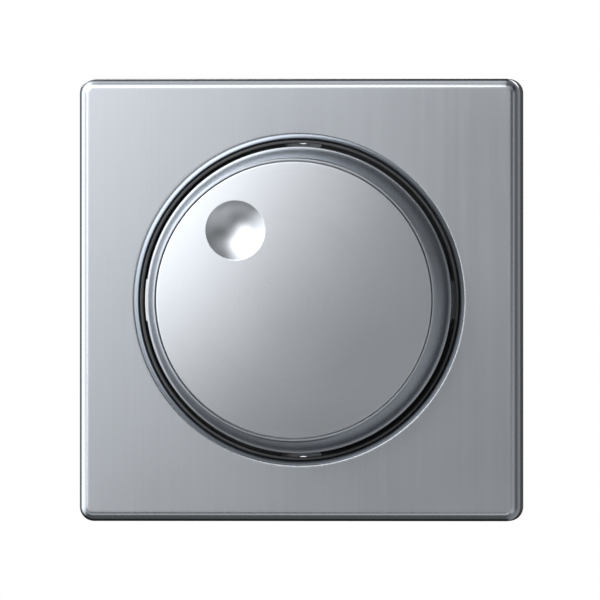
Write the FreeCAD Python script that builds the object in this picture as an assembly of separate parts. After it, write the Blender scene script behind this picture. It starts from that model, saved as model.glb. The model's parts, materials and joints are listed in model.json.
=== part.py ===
import FreeCAD, Part
import math
import os

# Rotary dimmer switch for a 60 mm wall box, in millimetres.
# It is modelled face up: x to the right, y up the wall, z out of the wall towards the user, with
# z = 0 at the wall and the knob's axis on z. The finished pieces are then stood up, so that z up
# is up the wall and the face looks along -Y.

# Faceplate
plate_side = 80.0
plate_corner_radius = 2.6
plate_edge_radius = 1.7
plate_front = 9.0
plate_foot = 0.6
plate_wall = 1.2
hole_radius = 29.0
rim_roll = 1.3
rim_depth = 3.5

# Carrier behind the faceplate
carrier_clearance = 0.1
carrier_foot = 1.4
carrier_wall = 1.6
carrier_inner_corner = 0.4
carrier_deck = 1.3
lining_wall = 0.55
lining_clearance = 0.05
lining_below_front = 0.45
lining_lip_radius = 0.2
shelf_wall = 1.2
web_thickness = 1.6
rib_count = 8
rib_thickness = 1.2
rib_height = 1.2
peg_radius = 1.4
peg_offset = 25.0
peg_tip_height = 0.2
notch_radius = 4.2
notch_roof = 0.8

# Knob
skirt_foot_radius = 27.75
skirt_foot_height = 6.0
flange_top = 9.7
cone_foot_radius = 27.4
cone_top_radius = 25.75
skirt_top = 19.25
skirt_lip_width = 0.3
skirt_chamfer = 0.45
skirt_wall = 1.4
flange_edge_radius = 0.2
flange_back_radius = 0.4
cone_root_radius = 0.1
seat_width = 1.8
seat_thickness = 1.0
disc_radius = 25.0
disc_joint = 0.2
disc_thickness = 2.0
disc_bed_clearance = 0.05
disc_crown = 0.75
disc_edge_radius = 0.15
dimple_radius = 5.45
dimple_depth = 1.3
dimple_offset = 16.4
dimple_angle = 130.0
hub_radius = 5.4
hub_length = 4.4
core_plate = 2.4
core_rib_height = 3.6
core_rim_wall = 1.0
core_clearance = 0.1
hub_spring_thickness = 0.3
hub_spring_width = 3.6
hub_spring_inset = 0.2

# Spindle and its bearing
spindle_radius = 3.0
spindle_front = 16.4
spindle_flat = 1.5
spindle_drive_flat = 2.0
spindle_chamfer = 0.4
spindle_board_clearance = 0.1
fit = 0.05
join = 0.1
bush_radius = 5.0
bush_front = 8.5
bush_shoulder_radius = 7.0
bush_shoulder = 1.2
bush_tail = 0.7
clip_thickness = 0.6
clip_radius = 4.8
clip_groove_depth = 0.7
clip_play = 0.1
clip_gap = 2.4
push_travel = 1.2
nut_across_flats = 14.0
nut_height = 2.5
washer_radius = 8.0
washer_thickness = 0.5
washer_teeth = 16
washer_notch_depth = 1.2
washer_notch_half_angle = 4.0

# Support ring and box fixing
ring_inset = 4.5
ring_corner_radius = 6.0
ring_thickness = 1.0
box_screw_spacing = 60.0
box_screw_hole = 1.75
slot_width = 3.6
slot_half_angle = 9.0
ring_web = 2.5
ring_hole_clearance = 0.15

# Mechanism housing
housing_width = 44.0
housing_height = 50.0
housing_corner = 12.0
housing_back = 24.0
housing_wall = 1.6
housing_edge_radius = 1.0
cover_flange = 2.0
cover_boss_height = 2.6
boss_edge_radius = 0.3
boss_clearance = 0.2
pillar_inset = 6.8
pillar_radius = 2.6
pillar_screw_radius = 1.25
pillar_screw_head = 2.3
pillar_head_depth = 1.2
head_clearance = 0.1
housing_slot_width = 0.7
housing_slot_depth = 0.6
ledge_length = 1.8
ledge_width = 2.0
ledge_sink_clearance = 0.5
guide_depth = 1.2
guide_thickness = 1.0
guide_clearance = 0.3

# Dimming control
pot_radius = 11.0
pot_wall = 1.0
pot_depth = 8.0
rotor_bearing = 3.9
rotor_radius = 9.3
rotor_thickness = 1.0
rotor_hub = 4.6
rotor_hub_height = 1.5
rotor_above_track = 0.8
track_inner = 4.4
track_outer = 8.9
track_thickness = 0.6
wiper_inner = 5.4
wiper_outer = 8.4
wiper_thickness = 0.3
wiper_tip_clearance = 0.05
wiper_finger_width = 1.0
wiper_finger_inset = 0.7
wiper_finger_half_angle = 5.0
turn_each_way = 135.0
rest_turn = dimple_angle - 90.0
stop_tab_half_angle = 8.0
stop_tab_height = 0.4
stop_play_angle = 2.0

# Circuit board and what it carries
board_thickness = 1.6
board_clearance = 0.3
board_hole = 4.3
fuse_radius = 2.6
fuse_length = 20.0
fuse_cap = 5.5
fuse_glass_step = 0.25
fuse_pillar_clearance = 0.9
fuse_lift = 4.0
clip_wall = 0.4
fuse_clip_width = 3.6
fuse_clip_x = 7.6
clip_foot_width = 2.4
clip_mouth_width = 3.0
choke_side_room = 2.9
choke_end_room = 7.4
choke_radius = 5.0
choke_core_radius = 2.6
choke_height = 9.4
choke_cheek = 1.0
winding_radius = 4.5
winding_wire = 0.35
capacitor_side_room = 3.9
capacitor_end_room = 4.0
capacitor_width = 12.0
capacitor_depth = 6.6
capacitor_height = 9.0
capacitor_edge = 0.8
sink_thickness = 1.2
sink_length = 16.0
sink_gap = 0.2
sink_below_board = 0.6
sink_foot = 3.5
sink_foot_thickness = 0.5
triac_body = 9.2
triac_tab = 15.4
triac_width = 9.4
triac_thickness = 4.4
triac_tab_thickness = 1.3
triac_hole_from_end = 3.0
lead_pitch = 2.5
lead_width = 0.8
lead_thickness = 0.6
lead_inset = 1.4
lead_splay = 1.1
lead_reach = 3.0
sink_screw_radius = 1.5
sink_screw_head = 2.7
sink_screw_head_height = 1.8
resistor_radius = 1.0
resistor_length = 5.6
resistor_lead = 0.3
resistor_lead_reach = 1.0
resistor_lead_bend = 0.5
resistor_waist = 0.86
resistor_cap = 1.2
resistor_cap_slope = 0.3
resistor_cap_chamfer = 0.2
resistor_pitch = 8.2
resistor_pillar_clearance = 0.8
resistor_lift = 1.3

# Push switch
switch_side = 13.0
switch_height = 9.0
switch_wall = 1.0
plunger_radius = 2.3
plunger_flange = 3.4
plunger_flange_thickness = 1.2
plunger_case_clearance = 1.6
plunger_pin = 1.3
plunger_pin_length = 2.6
plunger_clearance = 0.2
spring_radius = 2.1
spring_wire = 0.28
spring_turns = 4
bridge_half_length = 5.2
bridge_width = 3.0
bridge_thickness = 0.3
contact_width = 1.3
contact_gap = 0.05

# Terminals
terminal_count = 3
terminal_side_room = 10.0
terminal_wall_clearance = 0.6
cage_gap = 1.6
cage_depth = 7.2
cage_height = 7.0
cage_wall = 1.2
cage_pin = 1.0
terminal_screw_radius = 1.45
terminal_screw_head = 2.2
terminal_head_height = 1.6
terminal_screw_length = 2.2
terminal_slot_width = 0.6
terminal_slot_depth = 0.7
wire_hole = 1.9
wire_funnel = 0.6
screw_hole_clearance = 0.25

# Spreader claws
claw_housing_clearance = 2.6
claw_screw_radius = 1.75
claw_screw_head = 2.75
claw_head_height = 1.45
claw_screw_length = 22.0
claw_slot_width = 0.8
claw_slot_depth = 0.7
claw_nut_from_tip = 4.5
claw_nut_x = 4.6
claw_nut_y = 6.0
claw_nut_z = 4.4
trunnion_radius = 1.3
trunnion_length = 1.6
claw_sheet = 1.0
claw_ear_radius = 2.3
claw_ear_gap = 0.2
claw_reach = 3.8
claw_drop = 6.4
claw_tooth = 0.8
claw_tooth_width = 2.6

# Places that follow from the sizes above
plate_inner = plate_front - plate_wall
deck_bottom = plate_inner - carrier_deck
rim_bottom = plate_front - rim_depth
lining_outer = hole_radius - lining_clearance
lining_inner = lining_outer - lining_wall
shelf_outer = hole_radius + rim_roll + shelf_wall + carrier_clearance
shelf_top = rim_bottom - carrier_clearance
web_bottom = cover_boss_height
web_top = web_bottom + web_thickness
cover_bottom = -cover_flange
housing_floor = -housing_back + housing_wall
shoulder_bottom = cover_bottom - bush_shoulder
bush_back = shoulder_bottom - bush_tail
clip_top = bush_back - clip_play
clip_bottom = clip_top - clip_thickness
pot_floor = cover_bottom - pot_depth + pot_wall
board_top = cover_bottom - pot_depth
board_bottom = board_top - board_thickness
spindle_back = board_bottom + push_travel + spindle_board_clearance
washer_top = web_top + washer_thickness
nut_top = washer_top + nut_height
disc_bottom = skirt_top - disc_thickness - disc_bed_clearance
core_top = disc_bottom
core_bottom = core_top - core_plate
hub_bottom = core_bottom - hub_length
seat_inner = disc_radius - seat_width
track_top = pot_floor + track_thickness
rotor_bottom = track_top + rotor_above_track
rotor_top = rotor_bottom + rotor_hub_height
switch_floor = board_bottom - switch_height + switch_wall
plunger_top = spindle_back - fit
stem_foot = board_bottom - switch_wall - plunger_case_clearance
flange_bottom = stem_foot - plunger_flange_thickness
pillar_x = housing_width / 2 - pillar_inset
pillar_y = housing_height / 2 - pillar_inset
pillars = ((-pillar_x, pillar_y), (pillar_x, -pillar_y))
inner_half_width = housing_width / 2 - housing_wall
inner_half_height = housing_height / 2 - housing_wall
ledge_y = sink_length / 2 + ledge_sink_clearance + ledge_width / 2
fuse_x = fuse_length / 2 + fuse_pillar_clearance + pillar_radius - pillar_x
fuse_y = (pot_radius + inner_half_height) / 2
resistor_half = resistor_length / 2 + resistor_lead_reach
resistor_x = pillar_x - pillar_radius - resistor_pillar_clearance - resistor_half - resistor_pitch
resistor_y = -fuse_y
choke_x = choke_radius + choke_side_room - inner_half_width
choke_y = inner_half_height - choke_radius - choke_end_room
capacitor_x = inner_half_width - capacitor_width / 2 - capacitor_side_room
capacitor_y = inner_half_height - capacitor_depth / 2 - capacitor_end_room
sink_face = inner_half_width - sink_gap - sink_thickness
sink_top = board_bottom - sink_below_board
triac_height = sink_top - triac_width / 2
triac_hole_y = sink_length / 2 - triac_hole_from_end
terminal_pitch = (housing_width - 2 * terminal_side_room) / terminal_count
cage_width = terminal_pitch - cage_gap
terminal_y = cage_depth / 2 + terminal_wall_clearance - inner_half_height
claw_screw_x = housing_width / 2 + claw_housing_clearance
claw_nut_rest = claw_screw_length - ring_thickness - claw_nut_from_tip
claw_inner = claw_nut_y / 2 + claw_ear_gap
claw_outer = claw_inner + claw_sheet
ring_side = plate_side - 2 * ring_inset
nearest_screw = min(math.hypot(pillar_x, pillar_y) - pillar_screw_radius, claw_screw_x - claw_screw_radius)
ring_opening = nearest_screw - ring_web


def point(x, y, z=0.0):
    return FreeCAD.Vector(x, y, z)


def rod(radius, low, high, x=0.0, y=0.0):
    """A round solid along z between two heights."""
    return Part.makeCylinder(radius, high - low, point(x, y, low))


def tube(outer, inner, low, high, x=0.0, y=0.0):
    return rod(outer, low, high, x, y).cut(rod(inner, low, high, x, y))


def block(x0, x1, y0, y1, z0, z1):
    return Part.makeBox(x1 - x0, y1 - y0, z1 - z0, point(x0, y0, z0))


def rounded_slab(width, height, corner, low, high):
    """A plate centred on the axis, with its four upright corners rounded."""
    slab = block(-width / 2, width / 2, -height / 2, height / 2, low, high)
    upright = [e for e in slab.Edges if abs(e.tangentAt(e.FirstParameter).z) > 0.9]
    return slab.makeFillet(corner, upright)


def turned(outline):
    """A solid turned about z from (radius, height) points."""
    corners = [point(r, 0, z) for r, z in outline]
    face = Part.Face(Part.makePolygon(corners + corners[:1]))
    return face.revolve(point(0, 0), point(0, 0, 1), 360)


def round_circles(solid, radius, circles):
    """Fillets the circular edges that have the given (radius, height)."""
    found = []
    for edge in solid.Edges:
        if edge.Degenerated:
            continue
        curve = edge.Curve
        if not isinstance(curve, Part.Circle):
            continue
        for wanted, height in circles:
            if abs(curve.Radius - wanted) < 1e-4 and abs(curve.Center.z - height) < 1e-4:
                found.append(edge)
    return solid.makeFillet(radius, found)


def d_rod(radius, flat, low, high):
    """A round rod with a flat at x = flat."""
    return rod(radius, low, high).common(block(-radius, flat, -radius, radius, low, high))


def spun(solid, degrees):
    """A copy turned about the knob's axis, anticlockwise as the user sees it."""
    copy = solid.copy()
    copy.rotate(point(0, 0), point(0, 0, 1), degrees)
    return copy


def mirrored(solid):
    return solid.mirror(point(0, 0), point(1, 0, 0))


def sector(outer, inner, low, high, middle, half_angle):
    """Part of a ring, centred on an angle."""
    face = Part.Face(Part.makePolygon([
        point(inner, 0, low),
        point(outer, 0, low),
        point(outer, 0, high),
        point(inner, 0, high),
        point(inner, 0, low),
    ]))
    solid = face.revolve(point(0, 0), point(0, 0, 1), 2 * half_angle)
    return spun(solid, middle - half_angle)


def rod_along(axis, radius, length, start):
    return Part.makeCylinder(radius, length, start, axis)


def hexagon(across_flats, low, high):
    corner = across_flats / math.sqrt(3)
    corners = [
        point(corner * math.cos(math.radians(60 * i)), corner * math.sin(math.radians(60 * i)), low)
        for i in range(7)
    ]
    return Part.Face(Part.makePolygon(corners)).extrude(point(0, 0, high - low))


def make_faceplate():
    """Pressed sheet: a shallow tray with a rolled edge and a turned-in rim round the hole."""
    body = rounded_slab(plate_side, plate_side, plate_corner_radius, plate_foot, plate_front)
    front = [e for e in body.Edges if e.BoundBox.ZMin > plate_front - 1e-4]
    body = body.makeFillet(plate_edge_radius, front)
    inside = plate_side - 2 * plate_wall
    inner_corner = plate_corner_radius - plate_wall
    body = body.cut(rounded_slab(inside, inside, inner_corner, plate_foot, plate_inner))
    rolled = hole_radius + rim_roll
    body = body.cut(rod(rolled, plate_inner, plate_front))
    start = point(rolled, 0, plate_front)
    middle = point(rolled - rim_roll * math.sin(math.radians(45)), 0,
                   plate_front - rim_roll * (1 - math.cos(math.radians(45))))
    end = point(hole_radius, 0, plate_front - rim_roll)
    collar = hole_radius + plate_wall
    outline = Part.Wire([
        Part.Arc(start, middle, end).toShape(),
        Part.makeLine(end, point(hole_radius, 0, rim_bottom)),
        Part.makeLine(point(hole_radius, 0, rim_bottom), point(collar, 0, rim_bottom)),
        Part.makeLine(point(collar, 0, rim_bottom), point(collar, 0, plate_inner)),
        Part.makeLine(point(collar, 0, plate_inner), point(rolled, 0, plate_inner)),
        Part.makeLine(point(rolled, 0, plate_inner), start),
    ])
    rim = Part.Face(outline).revolve(point(0, 0), point(0, 0, 1), 360)
    return body.fuse(rim).removeSplitter()


def make_plate_carrier():
    """Moulding that fills the faceplate, lines its hole and is clamped on the bush."""
    side = plate_side - 2 * plate_wall - 2 * carrier_clearance
    corner = plate_corner_radius - plate_wall - carrier_clearance
    frame = rounded_slab(side, side, corner, carrier_foot, plate_inner)
    inside = side - 2 * carrier_wall
    frame = frame.cut(rounded_slab(inside, inside, carrier_inner_corner, carrier_foot, deck_bottom))
    collar_room = hole_radius + plate_wall + carrier_clearance
    frame = frame.cut(rod(collar_room, carrier_foot, plate_inner))
    shelf = tube(shelf_outer, lining_inner, web_bottom, shelf_top)
    wall = tube(shelf_outer, collar_room, shelf_top, deck_bottom + carrier_deck / 2)
    lining = tube(lining_outer, lining_inner, web_bottom, plate_front - lining_below_front)
    lining = round_circles(lining, lining_lip_radius, [
        (lining_outer, plate_front - lining_below_front),
        (lining_inner, plate_front - lining_below_front),
    ])
    web = tube(lining_inner + join, bush_radius + fit, web_bottom, web_top)
    carrier = frame.fuse([shelf, wall, lining, web])
    ribs = []
    for i in range(rib_count):
        angle = 360 / rib_count * (i + 0.5)
        square_on = max(abs(math.cos(math.radians(angle))), abs(math.sin(math.radians(angle))))
        reach = inside / 2 / square_on + carrier_wall / 2
        rib = block(shelf_outer - join, reach, -rib_thickness / 2, rib_thickness / 2,
                    deck_bottom - rib_height, deck_bottom + join)
        ribs.append(spun(rib, angle))
    pegs = [
        rod(peg_radius, peg_tip_height, deck_bottom + join, x * peg_offset, y * peg_offset)
        for x in (-1, 1) for y in (-1, 1)
    ]
    carrier = carrier.fuse(ribs + pegs)
    offset = box_screw_spacing / 2
    for x, y in ((offset, 0), (-offset, 0), (0, offset), (0, -offset)):
        carrier = carrier.cut(rod(notch_radius, web_bottom, shelf_top - notch_roof, x, y))
    return carrier.removeSplitter()


def make_knob_skirt():
    """Turned cup: a flange at the foot, a slight cone, and a seat for the face disc."""
    lip = disc_radius + disc_joint
    inner_top = cone_top_radius - skirt_wall
    inner_foot = cone_foot_radius - skirt_wall
    seat_top = disc_bottom
    skirt = turned([
        (skirt_foot_radius, skirt_foot_height),
        (skirt_foot_radius, flange_top),
        (cone_foot_radius, flange_top),
        (cone_top_radius, skirt_top - skirt_chamfer),
        (lip + skirt_lip_width, skirt_top),
        (lip, skirt_top),
        (lip, seat_top),
        (seat_inner, seat_top),
        (seat_inner, seat_top - seat_thickness),
        (inner_top, seat_top - seat_thickness),
        (inner_foot, flange_top),
        (inner_foot, skirt_foot_height),
    ])
    skirt = round_circles(skirt, flange_edge_radius, [(skirt_foot_radius, flange_top)])
    skirt = round_circles(skirt, cone_root_radius, [(cone_foot_radius, flange_top)])
    return round_circles(skirt, flange_back_radius, [(skirt_foot_radius, skirt_foot_height)])


def make_knob_disc():
    """Thick face disc with a slight dome and a spherical finger dimple."""
    crown = skirt_top + disc_crown
    slope = (disc_radius ** 2 - disc_crown ** 2) / (2 * disc_crown)
    middle_radius = disc_radius / 2
    middle_height = crown - (slope + disc_crown - math.sqrt((slope + disc_crown) ** 2 - middle_radius ** 2))
    edge = point(disc_radius, 0, skirt_top)
    top = point(0, 0, crown)
    outline = Part.Wire([
        Part.makeLine(point(0, 0, disc_bottom), point(disc_radius, 0, disc_bottom)),
        Part.makeLine(point(disc_radius, 0, disc_bottom), edge),
        Part.Arc(edge, point(middle_radius, 0, middle_height), top).toShape(),
        Part.makeLine(top, point(0, 0, disc_bottom)),
    ])
    disc = Part.Face(outline).revolve(point(0, 0), point(0, 0, 1), 360)
    disc = round_circles(disc, disc_edge_radius, [(disc_radius, skirt_top)])
    ball = (dimple_radius ** 2 + dimple_depth ** 2) / (2 * dimple_depth)
    angle = math.radians(dimple_angle)
    x = dimple_offset * math.cos(angle)
    y = dimple_offset * math.sin(angle)
    surface = crown - (slope + disc_crown - math.sqrt((slope + disc_crown) ** 2 - dimple_offset ** 2))
    lean = dimple_offset / (slope + disc_crown)
    lift = ball - dimple_depth
    centre = point(x + lift * lean * math.cos(angle), y + lift * lean * math.sin(angle), surface + lift)
    return disc.cut(Part.makeSphere(ball, centre))


def make_knob_core():
    """Moulded hub and disc bed, pressed into the skirt under its seat."""
    bed = turned([
        (0, core_bottom),
        (cone_top_radius - skirt_wall - core_clearance, core_bottom),
        (cone_top_radius - skirt_wall - core_clearance, core_top - seat_thickness),
        (seat_inner - core_clearance, core_top - seat_thickness),
        (seat_inner - core_clearance, core_top),
        (0, core_top),
    ])
    rim_outer = seat_inner - core_clearance
    rim = tube(rim_outer, rim_outer - core_rim_wall, core_bottom - core_rib_height, core_bottom + join)
    hub = rod(hub_radius, hub_bottom, core_bottom + join)
    rib = block(hub_radius - join, rim_outer - core_rim_wall / 2, -rib_thickness / 2, rib_thickness / 2,
                core_bottom - core_rib_height, core_bottom + join)
    ribs = [spun(rib, 360 / rib_count * i) for i in range(rib_count)]
    core = bed.fuse([rim, hub] + ribs)
    bore_flat = spindle_flat + hub_spring_thickness + 2 * fit
    bore = d_rod(spindle_radius + fit, bore_flat, hub_bottom - join, spindle_front + fit)
    return core.cut(bore).removeSplitter()


def make_hub_spring():
    near = spindle_flat + fit
    half = hub_spring_width / 2
    return block(near, near + hub_spring_thickness, -half, half, hub_bottom + hub_spring_inset,
                 spindle_front - hub_spring_inset)


def make_spindle():
    """Steel shaft with a flat at the knob, a flat in the rotor, and a clip groove."""
    drive_top = rotor_top + push_travel + fit
    middle = rod(spindle_radius, drive_top, bush_front - push_travel)
    front = d_rod(spindle_radius, spindle_flat, bush_front - push_travel, spindle_front)
    back = d_rod(spindle_radius, spindle_drive_flat, spindle_back, drive_top)
    shaft = middle.fuse([front, back])
    ends = [e for e in shaft.Edges if abs(e.BoundBox.ZMin - spindle_front) < 1e-4]
    shaft = shaft.makeChamfer(spindle_chamfer, ends)
    groove = tube(2 * spindle_radius, spindle_radius - clip_groove_depth, clip_bottom - fit, clip_top + fit)
    return shaft.cut(groove)


def make_spindle_clip():
    clip = tube(clip_radius, spindle_radius - clip_groove_depth + fit, clip_bottom, clip_top)
    mouth = block(0, 2 * clip_radius, -clip_gap / 2, clip_gap / 2, clip_bottom, clip_top)
    return clip.cut(mouth)


def make_threaded_bush():
    bush = turned([
        (spindle_radius + fit, bush_back),
        (bush_radius, bush_back),
        (bush_radius, shoulder_bottom),
        (bush_shoulder_radius, shoulder_bottom),
        (bush_shoulder_radius, cover_bottom),
        (bush_radius, cover_bottom),
        (bush_radius, bush_front),
        (spindle_radius + fit, bush_front),
    ])
    edges = [e for e in bush.Edges if abs(e.BoundBox.ZMin - bush_front) < 1e-4]
    outer = [e for e in edges if isinstance(e.Curve, Part.Circle) and e.Curve.Radius > bush_radius - fit]
    return bush.makeChamfer(spindle_chamfer, outer)


def make_fixing_nut():
    nut = hexagon(nut_across_flats, washer_top, nut_top)
    corner = nut_across_flats / math.sqrt(3)
    chamfer = corner - nut_across_flats / 2
    dressed = turned([
        (0, washer_top),
        (corner, washer_top),
        (corner, nut_top - chamfer * 0.6),
        (corner - chamfer, nut_top),
        (0, nut_top),
    ])
    return nut.common(dressed).cut(rod(bush_radius + fit, washer_top, nut_top))


def make_lock_washer():
    """Thin washer with a toothed edge."""
    washer = tube(washer_radius, bush_radius + fit, web_top, washer_top)
    notches = [
        sector(washer_radius + join, washer_radius - washer_notch_depth, web_top, washer_top,
               360 * i / washer_teeth, washer_notch_half_angle)
        for i in range(washer_teeth)
    ]
    return washer.cut(notches)


def make_support_ring():
    """Zinc-plated ring with two holes, two levelling slots, peg holes and claw screw holes."""
    ring = rounded_slab(ring_side, ring_side, ring_corner_radius, 0, ring_thickness)
    offset = box_screw_spacing / 2
    openings = [rod(ring_opening, 0, ring_thickness)]
    for side in (-1, 1):
        openings.append(rod(box_screw_hole, 0, ring_thickness, 0, side * offset))
        openings.append(rod(claw_screw_radius + ring_hole_clearance, 0, ring_thickness, side * claw_screw_x, 0))
        middle = 0 if side > 0 else 180
        slot = sector(offset + slot_width / 2, offset - slot_width / 2, 0, ring_thickness, middle, slot_half_angle)
        openings.append(slot)
        for end in (-1, 1):
            angle = math.radians(middle + end * slot_half_angle)
            x = offset * math.cos(angle)
            y = offset * math.sin(angle)
            openings.append(rod(slot_width / 2, 0, ring_thickness, x, y))
        for up in (-1, 1):
            openings.append(rod(peg_radius + ring_hole_clearance, 0, ring_thickness, side * peg_offset, up * peg_offset))
    for x, y in pillars:
        openings.append(rod(pillar_screw_radius, 0, ring_thickness, x, y))
    for opening in openings:
        ring = ring.cut(opening)
    return ring


def make_housing_cover():
    """Moulded front of the mechanism, with a round boss that passes through the ring."""
    cover = rounded_slab(housing_width, housing_height, housing_corner, cover_bottom, 0)
    boss = rod(ring_opening - boss_clearance, -join, cover_boss_height)
    boss = round_circles(boss, boss_edge_radius, [(ring_opening - boss_clearance, cover_boss_height)])
    cover = cover.fuse(boss).cut(rod(bush_radius + fit, cover_bottom, cover_boss_height))
    for x, y in pillars:
        cover = cover.cut(rod(pillar_screw_radius + fit, cover_bottom, 0, x, y))
    return cover.removeSplitter()


def make_base_housing():
    """Rear box with screw pillars, board ledges, claw guides, wire entries and screw access."""
    box = rounded_slab(housing_width, housing_height, housing_corner, -housing_back, cover_bottom)
    back = [e for e in box.Edges if e.BoundBox.ZMax < -housing_back + 1e-4]
    box = box.makeFillet(housing_edge_radius, back)
    inner_corner = housing_corner - housing_wall
    cavity = rounded_slab(2 * inner_half_width, 2 * inner_half_height, inner_corner, housing_floor, cover_bottom)
    box = box.cut(cavity)
    extras = [rod(pillar_radius, housing_floor - join, cover_bottom, x, y) for x, y in pillars]
    for side in (-1, 1):
        for up in (-1, 1):
            x0, x1 = sorted((side * (inner_half_width + join), side * (inner_half_width - ledge_length)))
            middle = up * ledge_y
            extras.append(block(x0, x1, middle - ledge_width / 2, middle + ledge_width / 2,
                                housing_floor - join, board_bottom))
            x0, x1 = sorted((side * (housing_width / 2 - join), side * (housing_width / 2 + guide_depth)))
            near = up * (claw_outer + guide_clearance)
            y0, y1 = sorted((near, near + up * guide_thickness))
            extras.append(block(x0, x1, y0, y1, housing_edge_radius - housing_back, cover_bottom))
    box = box.fuse(extras)
    for x, y in pillars:
        box = box.cut(rod(pillar_screw_radius + fit, -housing_back, cover_bottom, x, y))
        box = box.cut(rod(pillar_screw_head + head_clearance, -housing_back, -housing_back + pillar_head_depth, x, y))
    for x in terminal_places():
        box = box.cut(rod(wire_hole, -housing_back, housing_floor, x, terminal_y))
        box = box.cut(Part.makeCone(wire_hole + wire_funnel, wire_hole, wire_funnel,
                                    point(x, terminal_y, -housing_back)))
        height = housing_floor + cage_height / 2
        access = rod_along(point(0, 1, 0), terminal_screw_head + screw_hole_clearance, housing_wall + 2 * join,
                           point(x, -housing_height / 2 - join, height))
        box = box.cut(access)
    return box.removeSplitter()


def make_housing_screws():
    screws = []
    for x, y in pillars:
        head = rod(pillar_screw_head, -housing_back, -housing_back + pillar_head_depth, x, y)
        slot = block(x - pillar_screw_head, x + pillar_screw_head,
                     y - housing_slot_width / 2, y + housing_slot_width / 2,
                     -housing_back, -housing_back + housing_slot_depth)
        shank = rod(pillar_screw_radius, -housing_back + pillar_head_depth - join, ring_thickness, x, y)
        screws.append(head.cut(slot).fuse(shank).removeSplitter())
    return Part.makeCompound(screws)


def make_pot_case():
    """Cup that holds the track and carries the rotor in its floor."""
    low = cover_bottom - pot_depth
    case = rod(pot_radius, low, cover_bottom)
    case = case.cut(rod(pot_radius - pot_wall, pot_floor, cover_bottom))
    stop_half = 180.0 - turn_each_way - stop_tab_half_angle - stop_play_angle
    stop = sector(pot_radius - pot_wall + join, rotor_radius + join, pot_floor - join, rotor_top, 90.0, stop_half)
    case = case.fuse(stop)
    return case.cut(rod(rotor_bearing + fit, low, pot_floor)).removeSplitter()


def make_pot_track():
    return tube(track_outer, track_inner, pot_floor, track_top)


def make_pot_rotor():
    """Disc on a hub that runs in the case floor, with a stop tab on its rim."""
    rotor = turned([
        (0, board_top),
        (rotor_bearing, board_top),
        (rotor_bearing, rotor_bottom),
        (rotor_radius, rotor_bottom),
        (rotor_radius, rotor_bottom + rotor_thickness),
        (rotor_hub, rotor_bottom + rotor_thickness),
        (rotor_hub, rotor_top),
        (0, rotor_top),
    ])
    tab = sector(rotor_radius + stop_tab_height, rotor_radius - rotor_thickness, rotor_bottom,
                 rotor_bottom + rotor_thickness, -90.0 + rest_turn, stop_tab_half_angle)
    bore = d_rod(spindle_radius + fit, spindle_drive_flat + fit, board_top, rotor_top)
    return rotor.fuse(tab).cut(bore).removeSplitter()


def make_wiper_contact():
    """Sprung brass ring under the rotor, with two fingers that reach the track."""
    ring = tube(wiper_outer, wiper_inner, rotor_bottom - wiper_thickness, rotor_bottom)
    low = track_top + wiper_tip_clearance
    fingers = [
        sector(radius + wiper_finger_width / 2, radius - wiper_finger_width / 2, low,
               rotor_bottom - wiper_thickness / 2, -90.0 + rest_turn, wiper_finger_half_angle)
        for radius in (wiper_inner + wiper_finger_inset, wiper_outer - wiper_finger_inset)
    ]
    return ring.fuse(fingers).removeSplitter()


def make_circuit_board():
    gap = 2 * (housing_wall + board_clearance)
    corner = housing_corner - housing_wall - board_clearance
    board = rounded_slab(housing_width - gap, housing_height - gap, corner, board_bottom, board_top)
    board = board.cut(rod(board_hole, board_bottom, board_top))
    for x, y in pillars:
        board = board.cut(rod(pillar_radius + board_clearance, board_bottom, board_top, x, y))
    return board


def make_fuse():
    """Glass tube with two end caps, lying along x."""
    height = board_top + fuse_lift
    along = point(1, 0, 0)
    start = point(fuse_x - fuse_length / 2, fuse_y, height)
    glass = rod_along(along, fuse_radius - fuse_glass_step, fuse_length, start)
    caps = [
        rod_along(along, fuse_radius, fuse_cap, start),
        rod_along(along, fuse_radius, fuse_cap, point(fuse_x + fuse_length / 2 - fuse_cap, fuse_y, height)),
    ]
    return glass.fuse(caps).removeSplitter()


def make_fuse_clips():
    """Two sprung saddles, open at the top, that hold the fuse by its caps."""
    height = board_top + fuse_lift
    inner = fuse_radius + fit
    outer = inner + clip_wall
    clips = []
    for side in (-1, 1):
        x0 = fuse_x + side * fuse_clip_x - fuse_clip_width / 2
        start = point(x0, fuse_y, height)
        along = point(1, 0, 0)
        saddle = rod_along(along, outer, fuse_clip_width, start)
        foot = block(x0, x0 + fuse_clip_width, fuse_y - clip_foot_width / 2, fuse_y + clip_foot_width / 2,
                     board_top, height - inner)
        mouth = block(x0, x0 + fuse_clip_width, fuse_y - clip_mouth_width / 2, fuse_y + clip_mouth_width / 2,
                      height, height + outer)
        clip = saddle.fuse(foot).cut(rod_along(along, inner, fuse_clip_width, start)).cut(mouth)
        clips.append(clip.removeSplitter())
    return Part.makeCompound(clips)


def make_choke_core():
    """Ferrite bobbin with two cheeks."""
    low = board_bottom - choke_height
    core = turned([
        (0, low),
        (choke_radius, low),
        (choke_radius, low + choke_cheek),
        (choke_core_radius, low + choke_cheek),
        (choke_core_radius, board_bottom - choke_cheek),
        (choke_radius, board_bottom - choke_cheek),
        (choke_radius, board_bottom),
        (0, board_bottom),
    ])
    core.translate(point(choke_x, choke_y))
    return core


def make_choke_winding():
    """The wound wire as one ridged sleeve between the cheeks."""
    low = board_bottom - choke_height + choke_cheek
    high = board_bottom - choke_cheek
    turns = int((high - low) / (2 * winding_wire))
    pitch = (high - low) / turns
    groove = winding_radius - winding_wire
    outline = [(choke_core_radius, high), (choke_core_radius, low), (groove, low)]
    for i in range(turns):
        outline.append((winding_radius, low + pitch * (i + 0.5)))
        if i < turns - 1:
            outline.append((groove, low + pitch * (i + 1)))
    outline.append((groove, high))
    winding = turned(outline)
    winding.translate(point(choke_x, choke_y))
    return winding


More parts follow.
